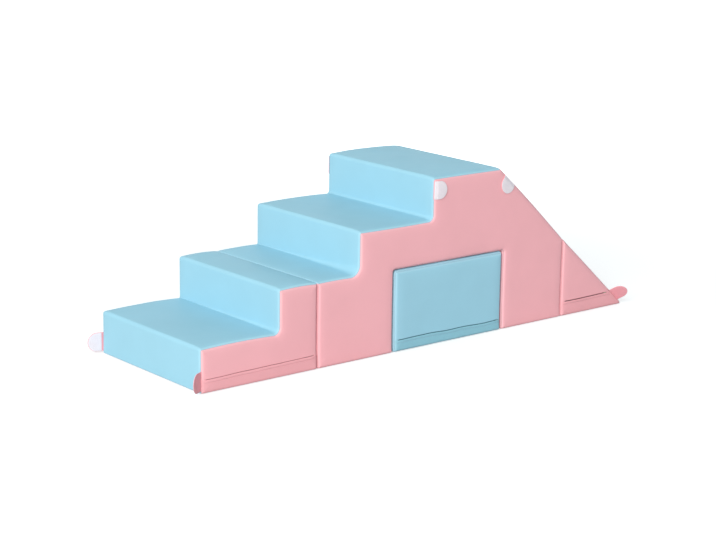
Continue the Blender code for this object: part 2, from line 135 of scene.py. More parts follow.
# How far a run of an outline swells outward at its middle, on the near and the far side
FIRST_TREAD_BULGE = (0.003, 0.003)
SECOND_TREAD_BULGE = (0.0025, 0.0025)
LANDING_BULGE = (0.001, 0.001)
THIRD_TREAD_BULGE = (-0.001, 0.003)
PLATFORM_BULGE = (0.0005, 0.004)
SLOPE_BULGE = (0.002, 0.002)

# How much of their crown two panels keep at the seam between them
CREST_KEPT = 0.8
JOIN_KEPT = 0.3

# Where on a corner's arc its seam lies, if not half way round
STAIR_END_SEAM_SHARE = 0.85
LANDING_SEAM_SHARE = 0.15
CREST_SEAM_SHARE = 0.15

# Covers: the rounded edge that ends in a seam, and the swell between the seams
SPACING = 0.0045
NET_SPACING = 0.011
NET_MARGIN_SHARE = 0.6
EDGE_STATIONS_MM = (-2.2, -0.9, 0, 0.25, 0.6, 1.1, 1.8, 2.7, 3.8, 5, 6.4, 8.2, 11, 15, 20, 27)
SEAM_STEP_SHARES = (0.12, 0.3, 0.6)
EDGE_RADIUS = 0.010
COVER = 0.0009
SEAM_Y = HALF_WIDTH - 0.0025
SIDE_CROWN = 0.0036
STRIP_CROWN = 0.0022
TREAD_CROWN = 0.0024
LEVEL_POWER = 8
CROWN_RUN = 0.014
SEAM_DIP = 0.0005
SEAM_DIP_RUN = 0.0013
SEAM_HALF_GAP = 0.00012
SEAM_HOLD = 0.0025
SWELL = 0.0007
SWELL_SIZE = 0.110
SMALL_SWELL_SHARE = 0.3
PUCKER = 0.00022
PUCKER_SIZE = 0.014
PUCKER_REACH = 0.009
NORMAL_STEP = 0.0001

# Distances from a seam that the looks of the cover go by: on cloth in the slot behind a hem, which gives it
# the darkest painted shade, at the edge of a strap, and where no seam is near
PAINTED_SHADE_SEAM = -0.001
STRAP_EDGE = 0.0015
PLAIN = 0.02

# How the blocks' weight spreads the cover's lowest edge on the floor
FOOT_SPREAD = 0.003
FOOT_SPREAD_POWER = 4
FOOT_HEIGHT = 0.030
FOOT_PRESS = 0.65
FOOT_PRESS_HEIGHT = 0.006

# The hem of a low band, which stands over the zip
SLOT = 0.0038
WEDGE_SLOT = 0.0045
SLOT_END = 0.006
SLANTED_SLOT_END = 0.010
SLOT_EASE = 0.009
SLOT_CLOSING_HEIGHT = 0.006
SLANTED_LINE_EASE = 0.012
HEM_STATIONS_MM = (
    *(-14, -11.5, -10, -9.4, -8.9, -8.5, -8.1, -7.6, -6.9, -5.7, -4.2, -2.9, -2.2),
    *(2.4, 3.4, 4.8, 7, 10, 14),
)
HEM_FOLD = 0.0085
HEM_PROUD = 0.0010
HEM_PUFF = 0.0022
HEM_PUFF_START = 0.0002
HEM_SWELL_SHARE = 0.25
HEM_ROUND = 0.00105
HEM_ROUND_STEPS = 6
FOLD_HOLD = 0.1
SAME_LEVEL = 1e-6
HEM_TUCK = 0.0060
HEM_LINE_REACH = 0.014
HEM_LINE_FADE = 0.018
HEM_WAVE_SIZE = 0.075
HEM_WAVE_ROWS = 40
HEM_WAVE_LAYER = 0.3

# The hem's stitches
STITCH_DEPTH = 0.0004
STITCH_GROOVE = 0.0007
STITCH_LIP_SHARE = 0.3
STITCH_LIP = 0.002
STITCH_LENGTH = 0.0031
STITCH_PITCH = 0.0038
STITCH_MARGIN = 0.012
STITCH_LIFT = 0.0001
STITCH_LEAN = 0.06
STITCH_LEAN_RATE = 300
STITCH_RING_SHARES = ((-0.5, 0.45), (-0.38, 0.85), (0, 1.0), (0.38, 0.85), (0.5, 0.45))
THREAD = 0.0007
THREAD_SIDES = 7

# The cloth stops behind the hem, over the ends of the zip's tape
STOP = 0.0005
STOP_DEPTH = 0.0034
STOP_HEIGHT = 0.011
STOP_LAP = 0.006
SLANTED_STOP_LAP = 0.020
STOP_MARGIN = 0.010
SLANTED_STOP_MARGIN = 0.021

# The zip's two coils: sizes, and shares of the turns' pitch and of a coil's height
COIL_PITCH = 0.0024
COIL_POINTS = 8
COIL_SIDES = 5
COIL_WIRE = 0.00030
COIL_STAGGER_SHARE = 0.25
COIL_CENTRE_SHARE = 0.75
COIL_REACH_SHARE = 0.85

# Tabs: the strap, its path out of the seam, and how it rests
TAB_LENGTH = 0.047
TAB_WIDTH = 0.056
TAB_CORNER = 0.0012
TAB_END_SHARE = 0.999
STRAP = 0.0016
STRAP_ROOT = 0.0015
STRAP_BEND = 0.006
STRAP_SPACING = 0.0016
STRAP_NET = 0.0026
STRAP_STITCH_INSET = 0.0028
STRAP_STITCH_START = 0.0035
STRAP_STITCH_SHARE = 0.74
STRAP_STITCH_LENGTH = 0.0029
STITCH_WAY_SHARES = (-0.2, 0, 0.2)
STRAP_THREAD = 0.0006
RIBBON_LEAD = 0.004
RIBBON_STEP = 0.0006
FOLD_START = 0.0006
FOLD_CLEARANCE = 0.0003
FOLD_DEGREES = 40
FOLD_ARC_STEPS = 8
FOLD_STEP = 0.0018
FOLD_STEPS = 30
CURL_STEP = 0.0015
CURL_STEPS = 40
CURL = 0.0012
NEAR_FOOT_CURL = 0.0050
FOLDED = 0
NEAR_FOOT_SWING = 155
FAR_FOOT_SWING = 168
TOE_SWING = 135

# Tabs: the pad of hooks or loops on a strap
PAD = 0.0008
LOOP_PAD_START = 0.0012
HOOK_PAD_START = 0.0055
PAD_MARGIN = 0.0010
PAD_GAP = 0.0002
PAD_SPACING = 0.0018
PAD_NET = 0.0030
PAD_BORDER = 0.0028
PILE_PITCH = 0.0021
PILE_HEIGHT = 0.0006
PILE_RADIUS = 0.0001
HOOK_SPAN = 0.0005
LOOP_SPAN = 0.0008
HOOK_RING_SHARES = (0, 0.2, 0.5, 0.8, 0.86)
LOOP_RING_SHARES = (0, 0.2, 0.5, 0.8, 1.0)
PILE_DEPTH_SHARE = 1.6
PILE_FOOT_SHARE = 0.9

# Tabs: how even the hooks are and how loose the loops, in their places, turns and heights
HOOK_SCATTER = 0.1
LOOP_SCATTER = 0.7
HOOK_TURN = 0.15
HOOK_STAND_SHARE = 0.9
LOOP_LEAST_STAND_SHARE = 0.7
LOOP_STAND_SPREAD = 0.6
SPAN_SPREAD = 0.3

# From a plate's edge inward: how far in, and its share of the plate's half thickness
STRAP_PROFILE = (
    *((0, 0), (0.00015, 0.55), (0.0004, 0.82), (0.0008, 0.97), (0.0014, 1.0)),
    *((0.0022, 0.95), (0.0028, 0.72), (0.0034, 0.95), (0.0046, 1.08), (0.0070, 1.12)),
)
PAD_PROFILE = ((0, 0), (0.0002, 0.7), (0.0005, 1.0), (0.0012, 1.0), (0.0020, 0.80), (0.0030, 1.0))

# Foam inside the covers, and how much larger than a zip's tape its groove is
FOAM_INSET = 0.0022
FOAM_COVE_RADIUS = 0.006
FOAM_CROWN_ROWS = ((0.030, 0.9), (0.016, 0.7))
FOAM_EDGE_DEGREES = (0, 20, 40, 60, 80, 90)
FOAM_DENT = 0.0006
FOAM_DENT_SIZE = 0.05
GROOVE_PLAY = 0.004
GROOVE_LONGER = 0.020
GROOVE_DEEPER = 4

# Colours, as sRGB
PINK = (0.975, 0.718, 0.742)
# PINK_BAND is the low bands' deeper tone. On the tunnel lining, which wears it too, it is painted shade.
PINK_BAND = (0.955, 0.695, 0.718)
BLUE = (0.634, 0.823, 0.893)
BLUE_BAND = (0.590, 0.790, 0.850)
STRAP_PINK = (0.960, 0.665, 0.700)
ZIP_PINK = (0.85, 0.56, 0.60)
ZIP_BLUE = (0.45, 0.70, 0.78)
WHITE = (0.955, 0.918, 0.942)
RUBBED = (0.97, 0.97, 0.97)
FOAM = (0.930, 0.915, 0.860)
AGED_FOAM = (0.94, 0.88, 0.74)
ZINC = (0.620, 0.620, 0.640)

# The photograph's camera, fitted to the corners of the blocks
PHOTO_WIDTH = 716
FOCAL_PIXELS = 1896.6
SENSOR_MM = 36.0
CAMERA_PLACE = (-3.5893, -4.2772, 1.5429)
CAMERA_YAW = 39.585
CAMERA_PITCH = 13.705
CAMERA_ROLL = 0.931

# The studio's light
LIGHT_AIM = (0, 0, 0.25)
SKY_COLOUR = (0.82, 0.96, 1.0, 1)
SKY_STRENGTH = 0.46
PAPER = (1, 1, 1, 1)
FLOOR_SIZE = 40
FLOOR_GAP = 0.0004
FLOOR_GREY = (0.65, 0.65, 0.65, 1)
FLOOR_GLOW = 0.52
FLOOR_GLOW_NEAR = 1.2
FLOOR_GLOW_FAR = 3.5


def linear(channel):
    """One sRGB channel as the linear value that a shader takes."""
    return channel / 12.92 if channel <= 0.04045 else ((channel + 0.055) / 1.055) ** 2.4


def shade(colour, factor=1.0):
    """An sRGB colour as a linear one, made lighter or darker by a factor."""
    return (*[min(1.0, linear(channel) * factor) for channel in colour], 1.0)


def ease(share):
    """A share from 0 to 1, eased at both ends."""
    share = min(max(share, 0.0), 1.0)
    return share * share * (3 - 2 * share)


# Materials
def new_material(name, roughness):
    """A material and its node tree."""
    made = bpy.data.materials.new(name)
    made.use_nodes = True
    made.node_tree.nodes["Principled BSDF"].inputs["Roughness"].default_value = roughness
    return made, made.node_tree


def finished(material, looks):
    """The material, with the values or nodes given for its shader's sockets."""
    shader = material.node_tree.nodes["Principled BSDF"]
    for name, value in looks.items():
        feed(material.node_tree, shader.inputs[name], value)
    return material


def feed(tree, socket, value):
    """Sets a socket to a value, or links it to another node's output."""
    if isinstance(value, bpy.types.Node):
        tree.links.new(value.outputs[0], socket)
    elif isinstance(value, bpy.types.NodeSocket):
        tree.links.new(value, socket)
    else:
        socket.default_value = value


def node(tree, kind, inputs=(), **settings):
    """A node with its settings, and its inputs by name or number."""
    made = tree.nodes.new(f"ShaderNode{kind}")
    for name, value in settings.items():
        setattr(made, name, value)
    for key, value in dict(inputs).items():
        feed(tree, made.inputs[key], value)
    return made


def place(tree):
    """Where a point is on the piece, in metres."""
    return node(tree, "TexCoord").outputs["Object"]


def cloud(tree, size, detail=2.0):
    """Soft noise of that size in metres."""
    return node(tree, "TexNoise", {"Vector": place(tree), "Scale": 1 / size, "Detail": detail})


def cells(tree, size, **settings):
    """Cells of that size in metres."""
    return node(tree, "TexVoronoi", {"Vector": place(tree), "Scale": 1 / size}, **settings)


def bands(tree, size, direction, distortion=0.0):
    """Soft bands of that size in metres."""
    inputs = {"Vector": place(tree), "Scale": 1 / size, "Distortion": distortion}
    return node(tree, "TexWave", inputs, bands_direction=direction).outputs["Fac"]


def ramp(tree, value, start, end, low_value=0.0, high_value=1.0):
    """Maps a value that runs from start to end, eased."""
    inputs = {0: value, 1: start, 2: end, 3: low_value, 4: high_value}
    return node(tree, "MapRange", inputs, interpolation_type="SMOOTHSTEP")


def mixed(tree, factor, one, two, **settings):
    """One colour to another by a factor."""
    return node(tree, "Mix", {0: factor, 6: one, 7: two}, data_type="RGBA", **settings).outputs[2]


def toned(tree, factor, colour, dark, light):
    """A colour that varies with a factor, from a darker tone of it to a lighter one."""
    return mixed(tree, factor, shade(colour, dark), shade(colour, light))


def calculate(tree, operation, one, two):
    """What an operation makes of two values."""
    return node(tree, "Math", {0: one, 1: two}, operation=operation)


def bump(tree, height, distance, strength=1.0, under=None):
    """A bump of that depth in metres, over another one if given."""
    inputs = {"Height": height, "Distance": distance, "Strength": strength}
    if under:
        inputs["Normal"] = under
    return node(tree, "Bump", inputs)


def cover_material(name, colour):
    """Coated fabric: a pebbled grain, uneven gloss, pale rubbed edges, dark seams, and painted shade in the
    seam grooves and on the cloth in the slots behind the hems.
    """
    made, tree = new_material(name, 0.46)
    seam = node(tree, "Attribute", attribute_name="seam").outputs["Fac"]
    patches = ramp(tree, cloud(tree, 0.16, 3.0), 0.30, 0.70)
    tone = toned(tree, patches, colour, 0.985, 1.015)
    specks = ramp(tree, cloud(tree, 0.0011, 1.0), 0.38, 0.62, 0.0, 0.035)
    tone = mixed(tree, specks, tone, shade(colour, 0.80))
    rubbed = ramp(tree, seam, 0.001, 0.008, 0.07, 0.0)
    tone = mixed(tree, rubbed, tone, shade(RUBBED))
    # Darker at the seams and on the allowances. This is partly dark seam lines and partly painted shade, in
    # the seam grooves and on the cloth in the slots behind the hems.
    dark_seams_and_painted_shade = ramp(tree, seam, -0.001, 0.0007, 0.90, 0.0)
    tone = mixed(tree, dark_seams_and_painted_shade, tone, shade(colour, 0.45))
    gloss = ramp(tree, cloud(tree, 0.045, 4.0), 0.25, 0.75, 0.46, 0.54)
    pebbles = cells(tree, 0.0012, feature="SMOOTH_F1")
    pebbles.inputs["Randomness"].default_value = 0.9
    grain = calculate(tree, "ADD", pebbles, cloud(tree, 0.0006))
    fine = bump(tree, grain, 0.00010, 0.5)
    soft = bump(tree, cloud(tree, 0.030), 0.0006, 0.30, fine)
    looks = {"Base Color": tone, "Roughness": gloss, "Normal": soft, "Specular IOR Level": 0.06}
    return finished(made, looks)


def thread_material(name, colour):
    """Twisted sewing thread."""
    made, tree = new_material(name, 0.60)
    twist = bands(tree, 0.0018, "DIAGONAL", 1.5)
    tone = toned(tree, twist, colour, 0.72, 0.98)
    return finished(made, {"Base Color": tone, "Normal": bump(tree, twist, 0.0001)})


def pile_material(name, colour):
    """The white nylon of hook and loop tape."""
    made, tree = new_material(name, 0.70)
    tone = toned(tree, ramp(tree, cloud(tree, 0.0013), 0.30, 0.70), colour, 0.92, 1.02)
    looks = {"Base Color": tone, "Normal": bump(tree, cloud(tree, 0.0007), 0.0004)}
    return finished(made, {**looks, "Sheen Weight": 0.25, "Sheen Roughness": 0.5})


def foam_material(name, colour):
    """Open-celled foam, a little yellower in patches."""
    made, tree = new_material(name, 0.95)
    pores = cells(tree, 0.0016)
    tone = toned(tree, pores, colour, 0.70, 1.02)
    aged = mixed(tree, cloud(tree, 0.09), shade(colour), shade(AGED_FOAM))
    both = mixed(tree, 0.6, tone, aged, blend_type="MULTIPLY")
    return finished(made, {"Base Color": both, "Normal": bump(tree, pores, 0.0006)})


def tape_material(name, colour):
    """The woven tape of a zip."""
    made, tree = new_material(name, 0.85)
    weave = calculate(tree, "MULTIPLY", bands(tree, 0.0022, "X"), bands(tree, 0.0022, "Z"))
    tone = toned(tree, weave, colour, 0.78, 1.04)
    return finished(made, {"Base Color": tone, "Normal": bump(tree, weave, 0.0002)})


def nylon_material(name, colour):
    """The smooth monofilament of a zip's coil."""
    made, tree = new_material(name, 0.32)
    return finished(made, {"Base Color": toned(tree, cloud(tree, 0.004), colour, 0.90, 1.05)})


def zinc_material(name, colour):
    """Cast zinc, rubbed on its high places."""
    made, tree = new_material(name, 0.35)
    worn = cloud(tree, 0.003, 4.0)
    tone = toned(tree, worn, colour, 0.85, 1.15)
    gloss = ramp(tree, worn, 0.2, 0.8, 0.28, 0.46)
    looks = {"Base Color": tone, "Roughness": gloss, "Normal": bump(tree, worn, 0.00005)}
    return finished(made, {**looks, "Metallic": 0.9})


COVERS = {
    "pink": cover_material("pink_coated_fabric", PINK),
    "pink_band": cover_material("pink_coated_fabric_band", PINK_BAND),
    "blue": cover_material("blue_coated_fabric", BLUE),
    "blue_band": cover_material("blue_coated_fabric_band", BLUE_BAND),
    "strap": cover_material("pink_strap_fabric", STRAP_PINK),
}
THREADS = {
    "pink": thread_material("pink_thread", PINK),
    "blue": thread_material("blue_thread", BLUE),
}
PILE = pile_material("white_pile", WHITE)
CORE_FOAM = foam_material("cream_foam", FOAM)
TAPES = {
    "pink": tape_material("pink_tape", ZIP_PINK),
    "blue": tape_material("blue_tape", ZIP_BLUE),
}
COILS = {
    "pink": nylon_material("pink_coil", ZIP_PINK),
    "blue": nylon_material("blue_coil", ZIP_BLUE),
}
SLIDER_METAL = zinc_material("zinc", ZINC)


# Outlines and paths
class Outline:
    """A rounded outline, walked clockwise, whose rings all have the same number of points.

    A corner is its place and its radius, with a second radius where the far side's differs.
    bulges says how far the run after a corner swells outward at its middle, on the near and
    the far side, and seams which share of the way round a corner its seam lies.
    """

    def __init__(self, left, corners, spacing=SPACING, least_steps=10, bulges=(), seams=()):
        self.corners = [np.array((left + corner[0], corner[1])) for corner in corners]
        self.near_radii = [corner[2] for corner in corners]
        self.far_radii = [corner[-1] for corner in corners]
        self.bulges, self.seams = dict(bulges), dict(seams)
        count = len(corners)
        runs = [self.corners[index] - self.corners[index - 1] for index in range(count)]
        self.ways = [run / np.linalg.norm(run) for run in runs]
        self.turns = [
            math.atan2(np.cross(one, two), np.dot(one, two))
            for one, two in zip(self.ways, self.ways[1:] + self.ways[:1])
        ]
        self.arc_steps = [
            max(least_steps, 2 * round(abs(turn) * radius / spacing))
            for turn, radius in zip(self.turns, self.near_radii)
        ]
        arcs = [self.arc(index, 0, 1) for index in range(count)]
        self.run_steps = [
            max(1, round(np.linalg.norm(after[0] - arc[-1]) / spacing))
            for arc, after in zip(arcs, arcs[1:] + arcs[:1])
        ]
        self.starts = [0]
        for arc_steps, run_steps in zip(self.arc_steps, self.run_steps):
            self.starts.append(self.starts[-1] + arc_steps + run_steps)
        self.count = self.starts[-1]

    def arc(self, index, inset, nearness):
        """The points of one corner, moved inward."""
        into, out = self.ways[index], self.ways[(index + 1) % len(self.ways)]
        inward = np.array((into[1], -into[0]))
        inward_after = np.array((out[1], -out[0]))
        turn, far = self.turns[index], self.far_radii[index]
        radius = far + (self.near_radii[index] - far) * nearness
        shift = inset / (1 + np.dot(inward, inward_after))
        corner = self.corners[index] + (inward + inward_after) * shift
        side = 1 if turn < 0 else -1
        curve = shrunk(radius, inset) if side == 1 else radius + inset
        start = corner - into * curve * math.tan(abs(turn) / 2)
        centre = start + inward * side * curve
        across, up = start - centre
        steps = self.arc_steps[index]
        points = []
        for step in range(steps + 1):
            cos, sin = math.cos(turn * step / steps), math.sin(turn * step / steps)
            points.append(centre + np.array((across * cos - up * sin, across * sin + up * cos)))
        return points

    def ring(self, inset, nearness=1.0):
        """The whole outline, moved inward, with its corners as at the near or the far side."""
        arcs = [self.arc(index, inset, nearness) for index in range(len(self.corners))]
        points = []
        for index, (arc, steps) in enumerate(zip(arcs, self.run_steps)):
            after = (index + 1) % len(arcs)
            way = self.ways[after]
            near, far = self.bulges.get(index, (0, 0))
            swell = np.array((-way[1], way[0])) * (far + (near - far) * nearness) * 4
            points += arc
            for step in range(1, steps):
                share = step / steps
                even = arc[-1] + (arcs[after][0] - arc[-1]) * share
                points.append(even + swell * share * (1 - share))
        return np.array(points)

    def seam(self, corner):
        """Where in the rings a corner's seam lies."""
        return self.starts[corner] + round(self.seams.get(corner, 0.5) * self.arc_steps[corner])


def shrunk(radius, inset):
    """A convex corner's radius on a ring that lies further in, which never quite closes."""
    if inset <= radius / 2:
        return radius - inset
    return radius / 4 * (1 + math.exp(-(inset - radius / 2) / (radius / 4)))


def sampled(points, spots):
    """Points of a closed ring at whole or part places along it."""
    count = len(points)
    before = np.floor(spots).astype(int)
    part = (spots - before)[:, None]
    return points[before % count] * (1 - part) + points[(before + 1) % count] * part


def distances(points):
    """How far along a path each of its points lies."""
    return np.concatenate(([0], np.cumsum(np.linalg.norm(np.diff(points, axis=0), axis=1))))


def point_at(points, reached, reach):
    """A path's point at a distance along it."""
    return np.array([np.interp(reach, reached, points[:, axis]) for axis in (0, 1)])


STAIR = Outline(
    STAIR_LEFT,
    (
        (0, 0, BASE_RADIUS),
        (0, RISE, NOSE_RADIUS),
        (FIRST_TREAD, RISE, STAIR_COVE_RADIUS, FAR_COVE_RADIUS),
        (FIRST_TREAD, 2 * RISE, NOSE_RADIUS),
        (STAIR_LENGTH, 2 * RISE, JOIN_RADIUS),
        (STAIR_LENGTH, 0, BASE_RADIUS),
    ),
    bulges={1: FIRST_TREAD_BULGE, 3: SECOND_TREAD_BULGE},
    seams={4: STAIR_END_SEAM_SHARE},
)
BRIDGE = Outline(
    BRIDGE_LEFT,
    (
        (0, 0, BASE_RADIUS),
        (0, 2 * RISE, JOIN_RADIUS),
        (BRIDGE_LANDING, 2 * RISE, THIRD_COVE_RADIUS, FAR_COVE_RADIUS),
        (BRIDGE_LANDING, 3 * RISE, NOSE_RADIUS),
        (BRIDGE_LANDING + THIRD_TREAD, 3 * RISE, TOP_COVE_RADIUS, 2 * FAR_COVE_RADIUS),
        (BRIDGE_LANDING + THIRD_TREAD, HEIGHT, NOSE_RADIUS),
        (BRIDGE_LENGTH - SLOPE_RUN, HEIGHT, CREST_RADIUS),
        (BRIDGE_LENGTH, 2 * RISE, JOIN_RADIUS),
        (BRIDGE_LENGTH, 0, BASE_RADIUS),
        (LEFT_LEG + TUNNEL_LENGTH, 0, BASE_RADIUS),
        (LEFT_LEG + TUNNEL_LENGTH, TUNNEL_HEIGHT, MOUTH_RADIUS),
        (LEFT_LEG, TUNNEL_HEIGHT, MOUTH_RADIUS),
        (LEFT_LEG, 0, BASE_RADIUS),
    ),
    bulges={1: LANDING_BULGE, 3: THIRD_TREAD_BULGE, 5: PLATFORM_BULGE, 6: SLOPE_BULGE},
    seams={1: LANDING_SEAM_SHARE, 6: CREST_SEAM_SHARE},
)
FILLER = Outline(
    FILLER_LEFT,
    (
        (0, 0, BASE_RADIUS),
        (0, FILLER_HEIGHT, BASE_RADIUS),
        (FILLER_LENGTH, FILLER_HEIGHT, BASE_RADIUS),
        (FILLER_LENGTH, 0, BASE_RADIUS),
    ),
)
WEDGE = Outline(
    WEDGE_LEFT,
    ((0, 0, BASE_RADIUS), (0, 2 * RISE, JOIN_RADIUS), (WEDGE_LENGTH, 0, TIP_RADIUS)),
)


# Sheets
def edge_rows():
    """Rows over a cover's rounded edge, from the seam allowance to the flat of the panel.

    Each is how far the row lies in from the edge, how far below the panel's plane, and its
    distance from the seam, which is negative on the allowance.
    """
    half = math.sqrt(0.5)
    quarter = EDGE_RADIUS * math.pi / 4
    rows = []
    for millimetres in EDGE_STATIONS_MM:
        seam = millimetres / 1000
        spot = max(seam, 0)
        angle = max(math.pi / 4 - spot / EDGE_RADIUS, 0)
        inset = EDGE_RADIUS * (1 - math.sin(angle)) + max(spot - quarter, 0)
        drop = EDGE_RADIUS * (1 - math.cos(angle))
        dip = SEAM_DIP * math.exp(-spot / SEAM_DIP_RUN) + max(-seam, 0)
        gap = SEAM_HALF_GAP * math.exp(-spot / SEAM_DIP_RUN)
        rows.append((inset + (dip + gap) * half, drop + (dip - gap) * half, seam))
    return rows


EDGE_ROWS = edge_rows()


def rise(seam):
    """How much of a panel's crown is reached at a distance from its seam."""
    return 1 - math.exp(-max(seam, 0) / CROWN_RUN)


def uneven(point, seam, pressed=False):
    """How far a cover stands out of its plain shape: slow swells, and puckers by the seams.

    A pressed panel, which another block or the floor lies against, only gives way inward.
    """
    spot = max(seam, 0)
    swell = SWELL * noise.noise(point / SWELL_SIZE)
    swell += SMALL_SWELL_SHARE * SWELL * noise.noise(point / (SMALL_SWELL_SHARE * SWELL_SIZE))
    pucker = PUCKER * math.exp(-spot / PUCKER_REACH) * noise.noise(point / PUCKER_SIZE)
    height = (swell + pucker) * (1 - math.exp(-spot / SEAM_HOLD))
    return -abs(height) if pressed else height


def stood(point):
    """A point of a cover as the block stands: low edges bulge out and press on the floor."""
    spread = FOOT_SPREAD * math.exp(-max(point.z, 0) / FOOT_HEIGHT)
    spread *= (point.y / SEAM_Y) ** FOOT_SPREAD_POWER
    point.y += math.copysign(min(spread, FOOT_SPREAD), point.y)
    if point.z > 0:
        point.z *= 1 - FOOT_PRESS * math.exp(-point.z / FOOT_PRESS_HEIGHT)
    return point


def inside(spots, ring):
    """Which of the spots lie inside a closed ring."""
    found = np.zeros(len(spots), bool)
    for one, two in zip(ring, np.roll(ring, -1, axis=0)):
        crosses = (one[1] > spots[:, 1]) != (two[1] > spots[:, 1])
        height = two[1] - one[1] or 1e-12
        reach = (two[0] - one[0]) * (spots[:, 1] - one[1]) / height + one[0]
        found ^= crosses & (spots[:, 0] < reach)
    return found


def net(ring, spacing):
    """An even net of triangles inside a clockwise ring: the new places, and the faces."""
    tree = KDTree(len(ring))
    for index, point in enumerate(ring):
        tree.insert((*point, 0), index)
    tree.balance()
    low_u, low_v = ring.min(0)
    high_u, high_v = ring.max(0)
    row_step = spacing * math.sqrt(0.75)
    grid = np.array(
        [
            (low_u + (column + row % 2 / 2) * spacing, low_v + row * row_step)
            for row in range(int((high_v - low_v) / row_step) + 1)
            for column in range(int((high_u - low_u) / spacing) + 1)
        ]
    )
    grid = grid[inside(grid, ring)]
    grid = [spot for spot in grid if tree.find((*spot, 0))[2] > NET_MARGIN_SHARE * spacing]
    given = [Vector(point) for point in [*ring, *grid]]
    edges = [(index, (index + 1) % len(ring)) for index in range(len(ring))]
    _, _, faces, origins, _, _ = delaunay_2d_cdt(given, edges, [], 1, 1e-9)
    number = [origin[0] for origin in origins]
    return grid, [tuple(number[index] for index in reversed(face)) for face in faces]


def ringed_sheet(outline, rows, spacing, nearness=1.0):
    """A sheet over an outline: places as u, v, height and seam distance, and its faces.

    rows are rings from the edge inward, each as inset, height and seam distance.
    """
    places, faces = [], []
    for inset, height, seam in rows:
        ring = outline.ring(inset, nearness)
        places += [(*point, height, seam) for point in ring]
    count = outline.count
    for first in range(0, (len(rows) - 1) * count, count):
        for index in range(count):
            after = (index + 1) % count
            second = first + count
            faces.append((first + index, first + after, second + after, second + index))
    grid, triangles = net(ring, spacing)
    base = (len(rows) - 1) * count
    places += [(*spot, height, seam) for spot in grid]
    faces += [tuple(base + index for index in face) for face in triangles]
    return places, faces


def new_mesh():
    """An empty mesh whose points keep their distance from a seam, and that layer."""
    bm = bmesh.new()
    return bm, bm.verts.layers.float.new("seam")


def sheet_mesh(points, faces, seams, flip=False):
    """A mesh of points, with their distances from a seam, and faces."""
    bm, layer = new_mesh()
    verts = []
    for point, seam in zip(points, seams):
        vert = bm.verts.new(point)
        vert[layer] = seam
        verts.append(vert)
    for face in faces:
        bm.faces.new([verts[index] for index in (reversed(face) if flip else face)])
    return bm


def side_sheet(outline, side):
    """A block's near (-1) or far (1) panel."""
    rows = [(inset, -drop, seam) for inset, drop, seam in EDGE_ROWS]
    places, faces = ringed_sheet(outline, rows, NET_SPACING, nearness=1 if side < 0 else 0)
    points = []
    for u, v, height, seam in places:
        height += SIDE_CROWN * rise(seam)
        height += uneven(Vector((u, side * SEAM_Y, v)), seam)
        points.append(stood(Vector((u, side * (SEAM_Y + height), v))))
    return sheet_mesh(points, faces, [spot[3] for spot in places], flip=side < 0)


def strip_stations(outline, first, last):
    """Places along an outline's rings between two corners' seams, with both allowances."""
    start, stop = outline.seam(first), outline.seam(last)
    if stop <= start:
        stop += outline.count
    before = [start + share for share in SEAM_STEP_SHARES]
    after = [stop - share for share in reversed(SEAM_STEP_SHARES)]
    return np.array([*[start] * 3, *before, *range(start + 1, stop), *after, *[stop] * 3], float)


def strip_rows():
    """Rows across a strip, from its near seam to its far one, like those of an edge."""
    rows = [(-SEAM_Y + inset, -drop, seam) for inset, drop, seam in EDGE_ROWS]
    flat = -rows[-1][0]
    flat_seam = EDGE_ROWS[-1][2] + NET_SPACING
    count = round(2 * flat / NET_SPACING)
    rows += [(flat * (2 * step / count - 1), 0, flat_seam) for step in range(1, count)]
    return rows + [(SEAM_Y - inset, -drop, seam) for inset, drop, seam in reversed(EDGE_ROWS)]


def strip_sheet(outline, first, last, crown=STRIP_CROWN, pressed=False, kept=(0, 0)):
    """A panel across the block's width, from one corner of its outline to another.

    A pressed panel has no crown. kept is how much of it each end of a panel keeps at its seam.
    """
    crown = 0 if pressed else crown
    stations = strip_stations(outline, first, last)
    near, far, near_raised, far_raised = [
        sampled(outline.ring(inset, nearness), stations)
        for inset, nearness in ((0, 1), (0, 0), (-NORMAL_STEP, 1), (-NORMAL_STEP, 0))
    ]
    reached = distances(near)
    from_end = reached[-1] - reached
    ends = np.minimum(reached, from_end)
    for row in (0, 1):
        ends[row] = ends[-1 - row] = EDGE_ROWS[row][2]
    first_kept, last_kept = kept
    held = [
        (first_kept + (1 - first_kept) * rise(one)) * (last_kept + (1 - last_kept) * rise(two))
        for one, two in zip(reached, from_end)
    ]
    points, seams = [], []
    rows = strip_rows()
    for y, height, across in rows:
        nearness = ((SEAM_Y - y) / (2 * SEAM_Y)) ** 2
        path = far + (near - far) * nearness
        normals = far_raised + (near_raised - far_raised) * nearness - path
        normals /= np.linalg.norm(normals, axis=1)[:, None]
        for spot, normal, along, hold in zip(path, normals, ends, held):
            seam = min(across, along)
            level = max(normal[1], 0) ** LEVEL_POWER if crown else 0
            swell = (crown + TREAD_CROWN * level) * rise(across) * hold
            dip = SEAM_DIP * math.exp(-max(along, 0) / SEAM_DIP_RUN) + max(-along, 0)
            swell += uneven(Vector((spot[0], y, spot[1])), seam, pressed)
            u, v = spot + normal * (height + swell - dip)
            points.append(stood(Vector((u, y, v))))
            seams.append(seam)
    width = len(near)
    faces = [
        (index, index + 1, index + width + 1, index + width)
        for row in range(len(rows) - 1)
        for index in range(row * width, row * width + width - 1)
    ]
    return sheet_mesh(points, faces, seams)


# Pieces
def block_of(name):
    """The body of the block that a piece belongs to."""
    return name.split("_")[0] + "_block"


def new_object(name, data):
    """An object in the scene."""
    made = bpy.data.objects.new(name, data)
    bpy.context.scene.collection.objects.link(made)
    return made


def mesh_object(name, bm):
    """An object in the scene with the mesh, which is used up."""
    mesh = bpy.data.meshes.new(name)
    bm.to_mesh(mesh)
    bm.free()
    return new_object(name, mesh)


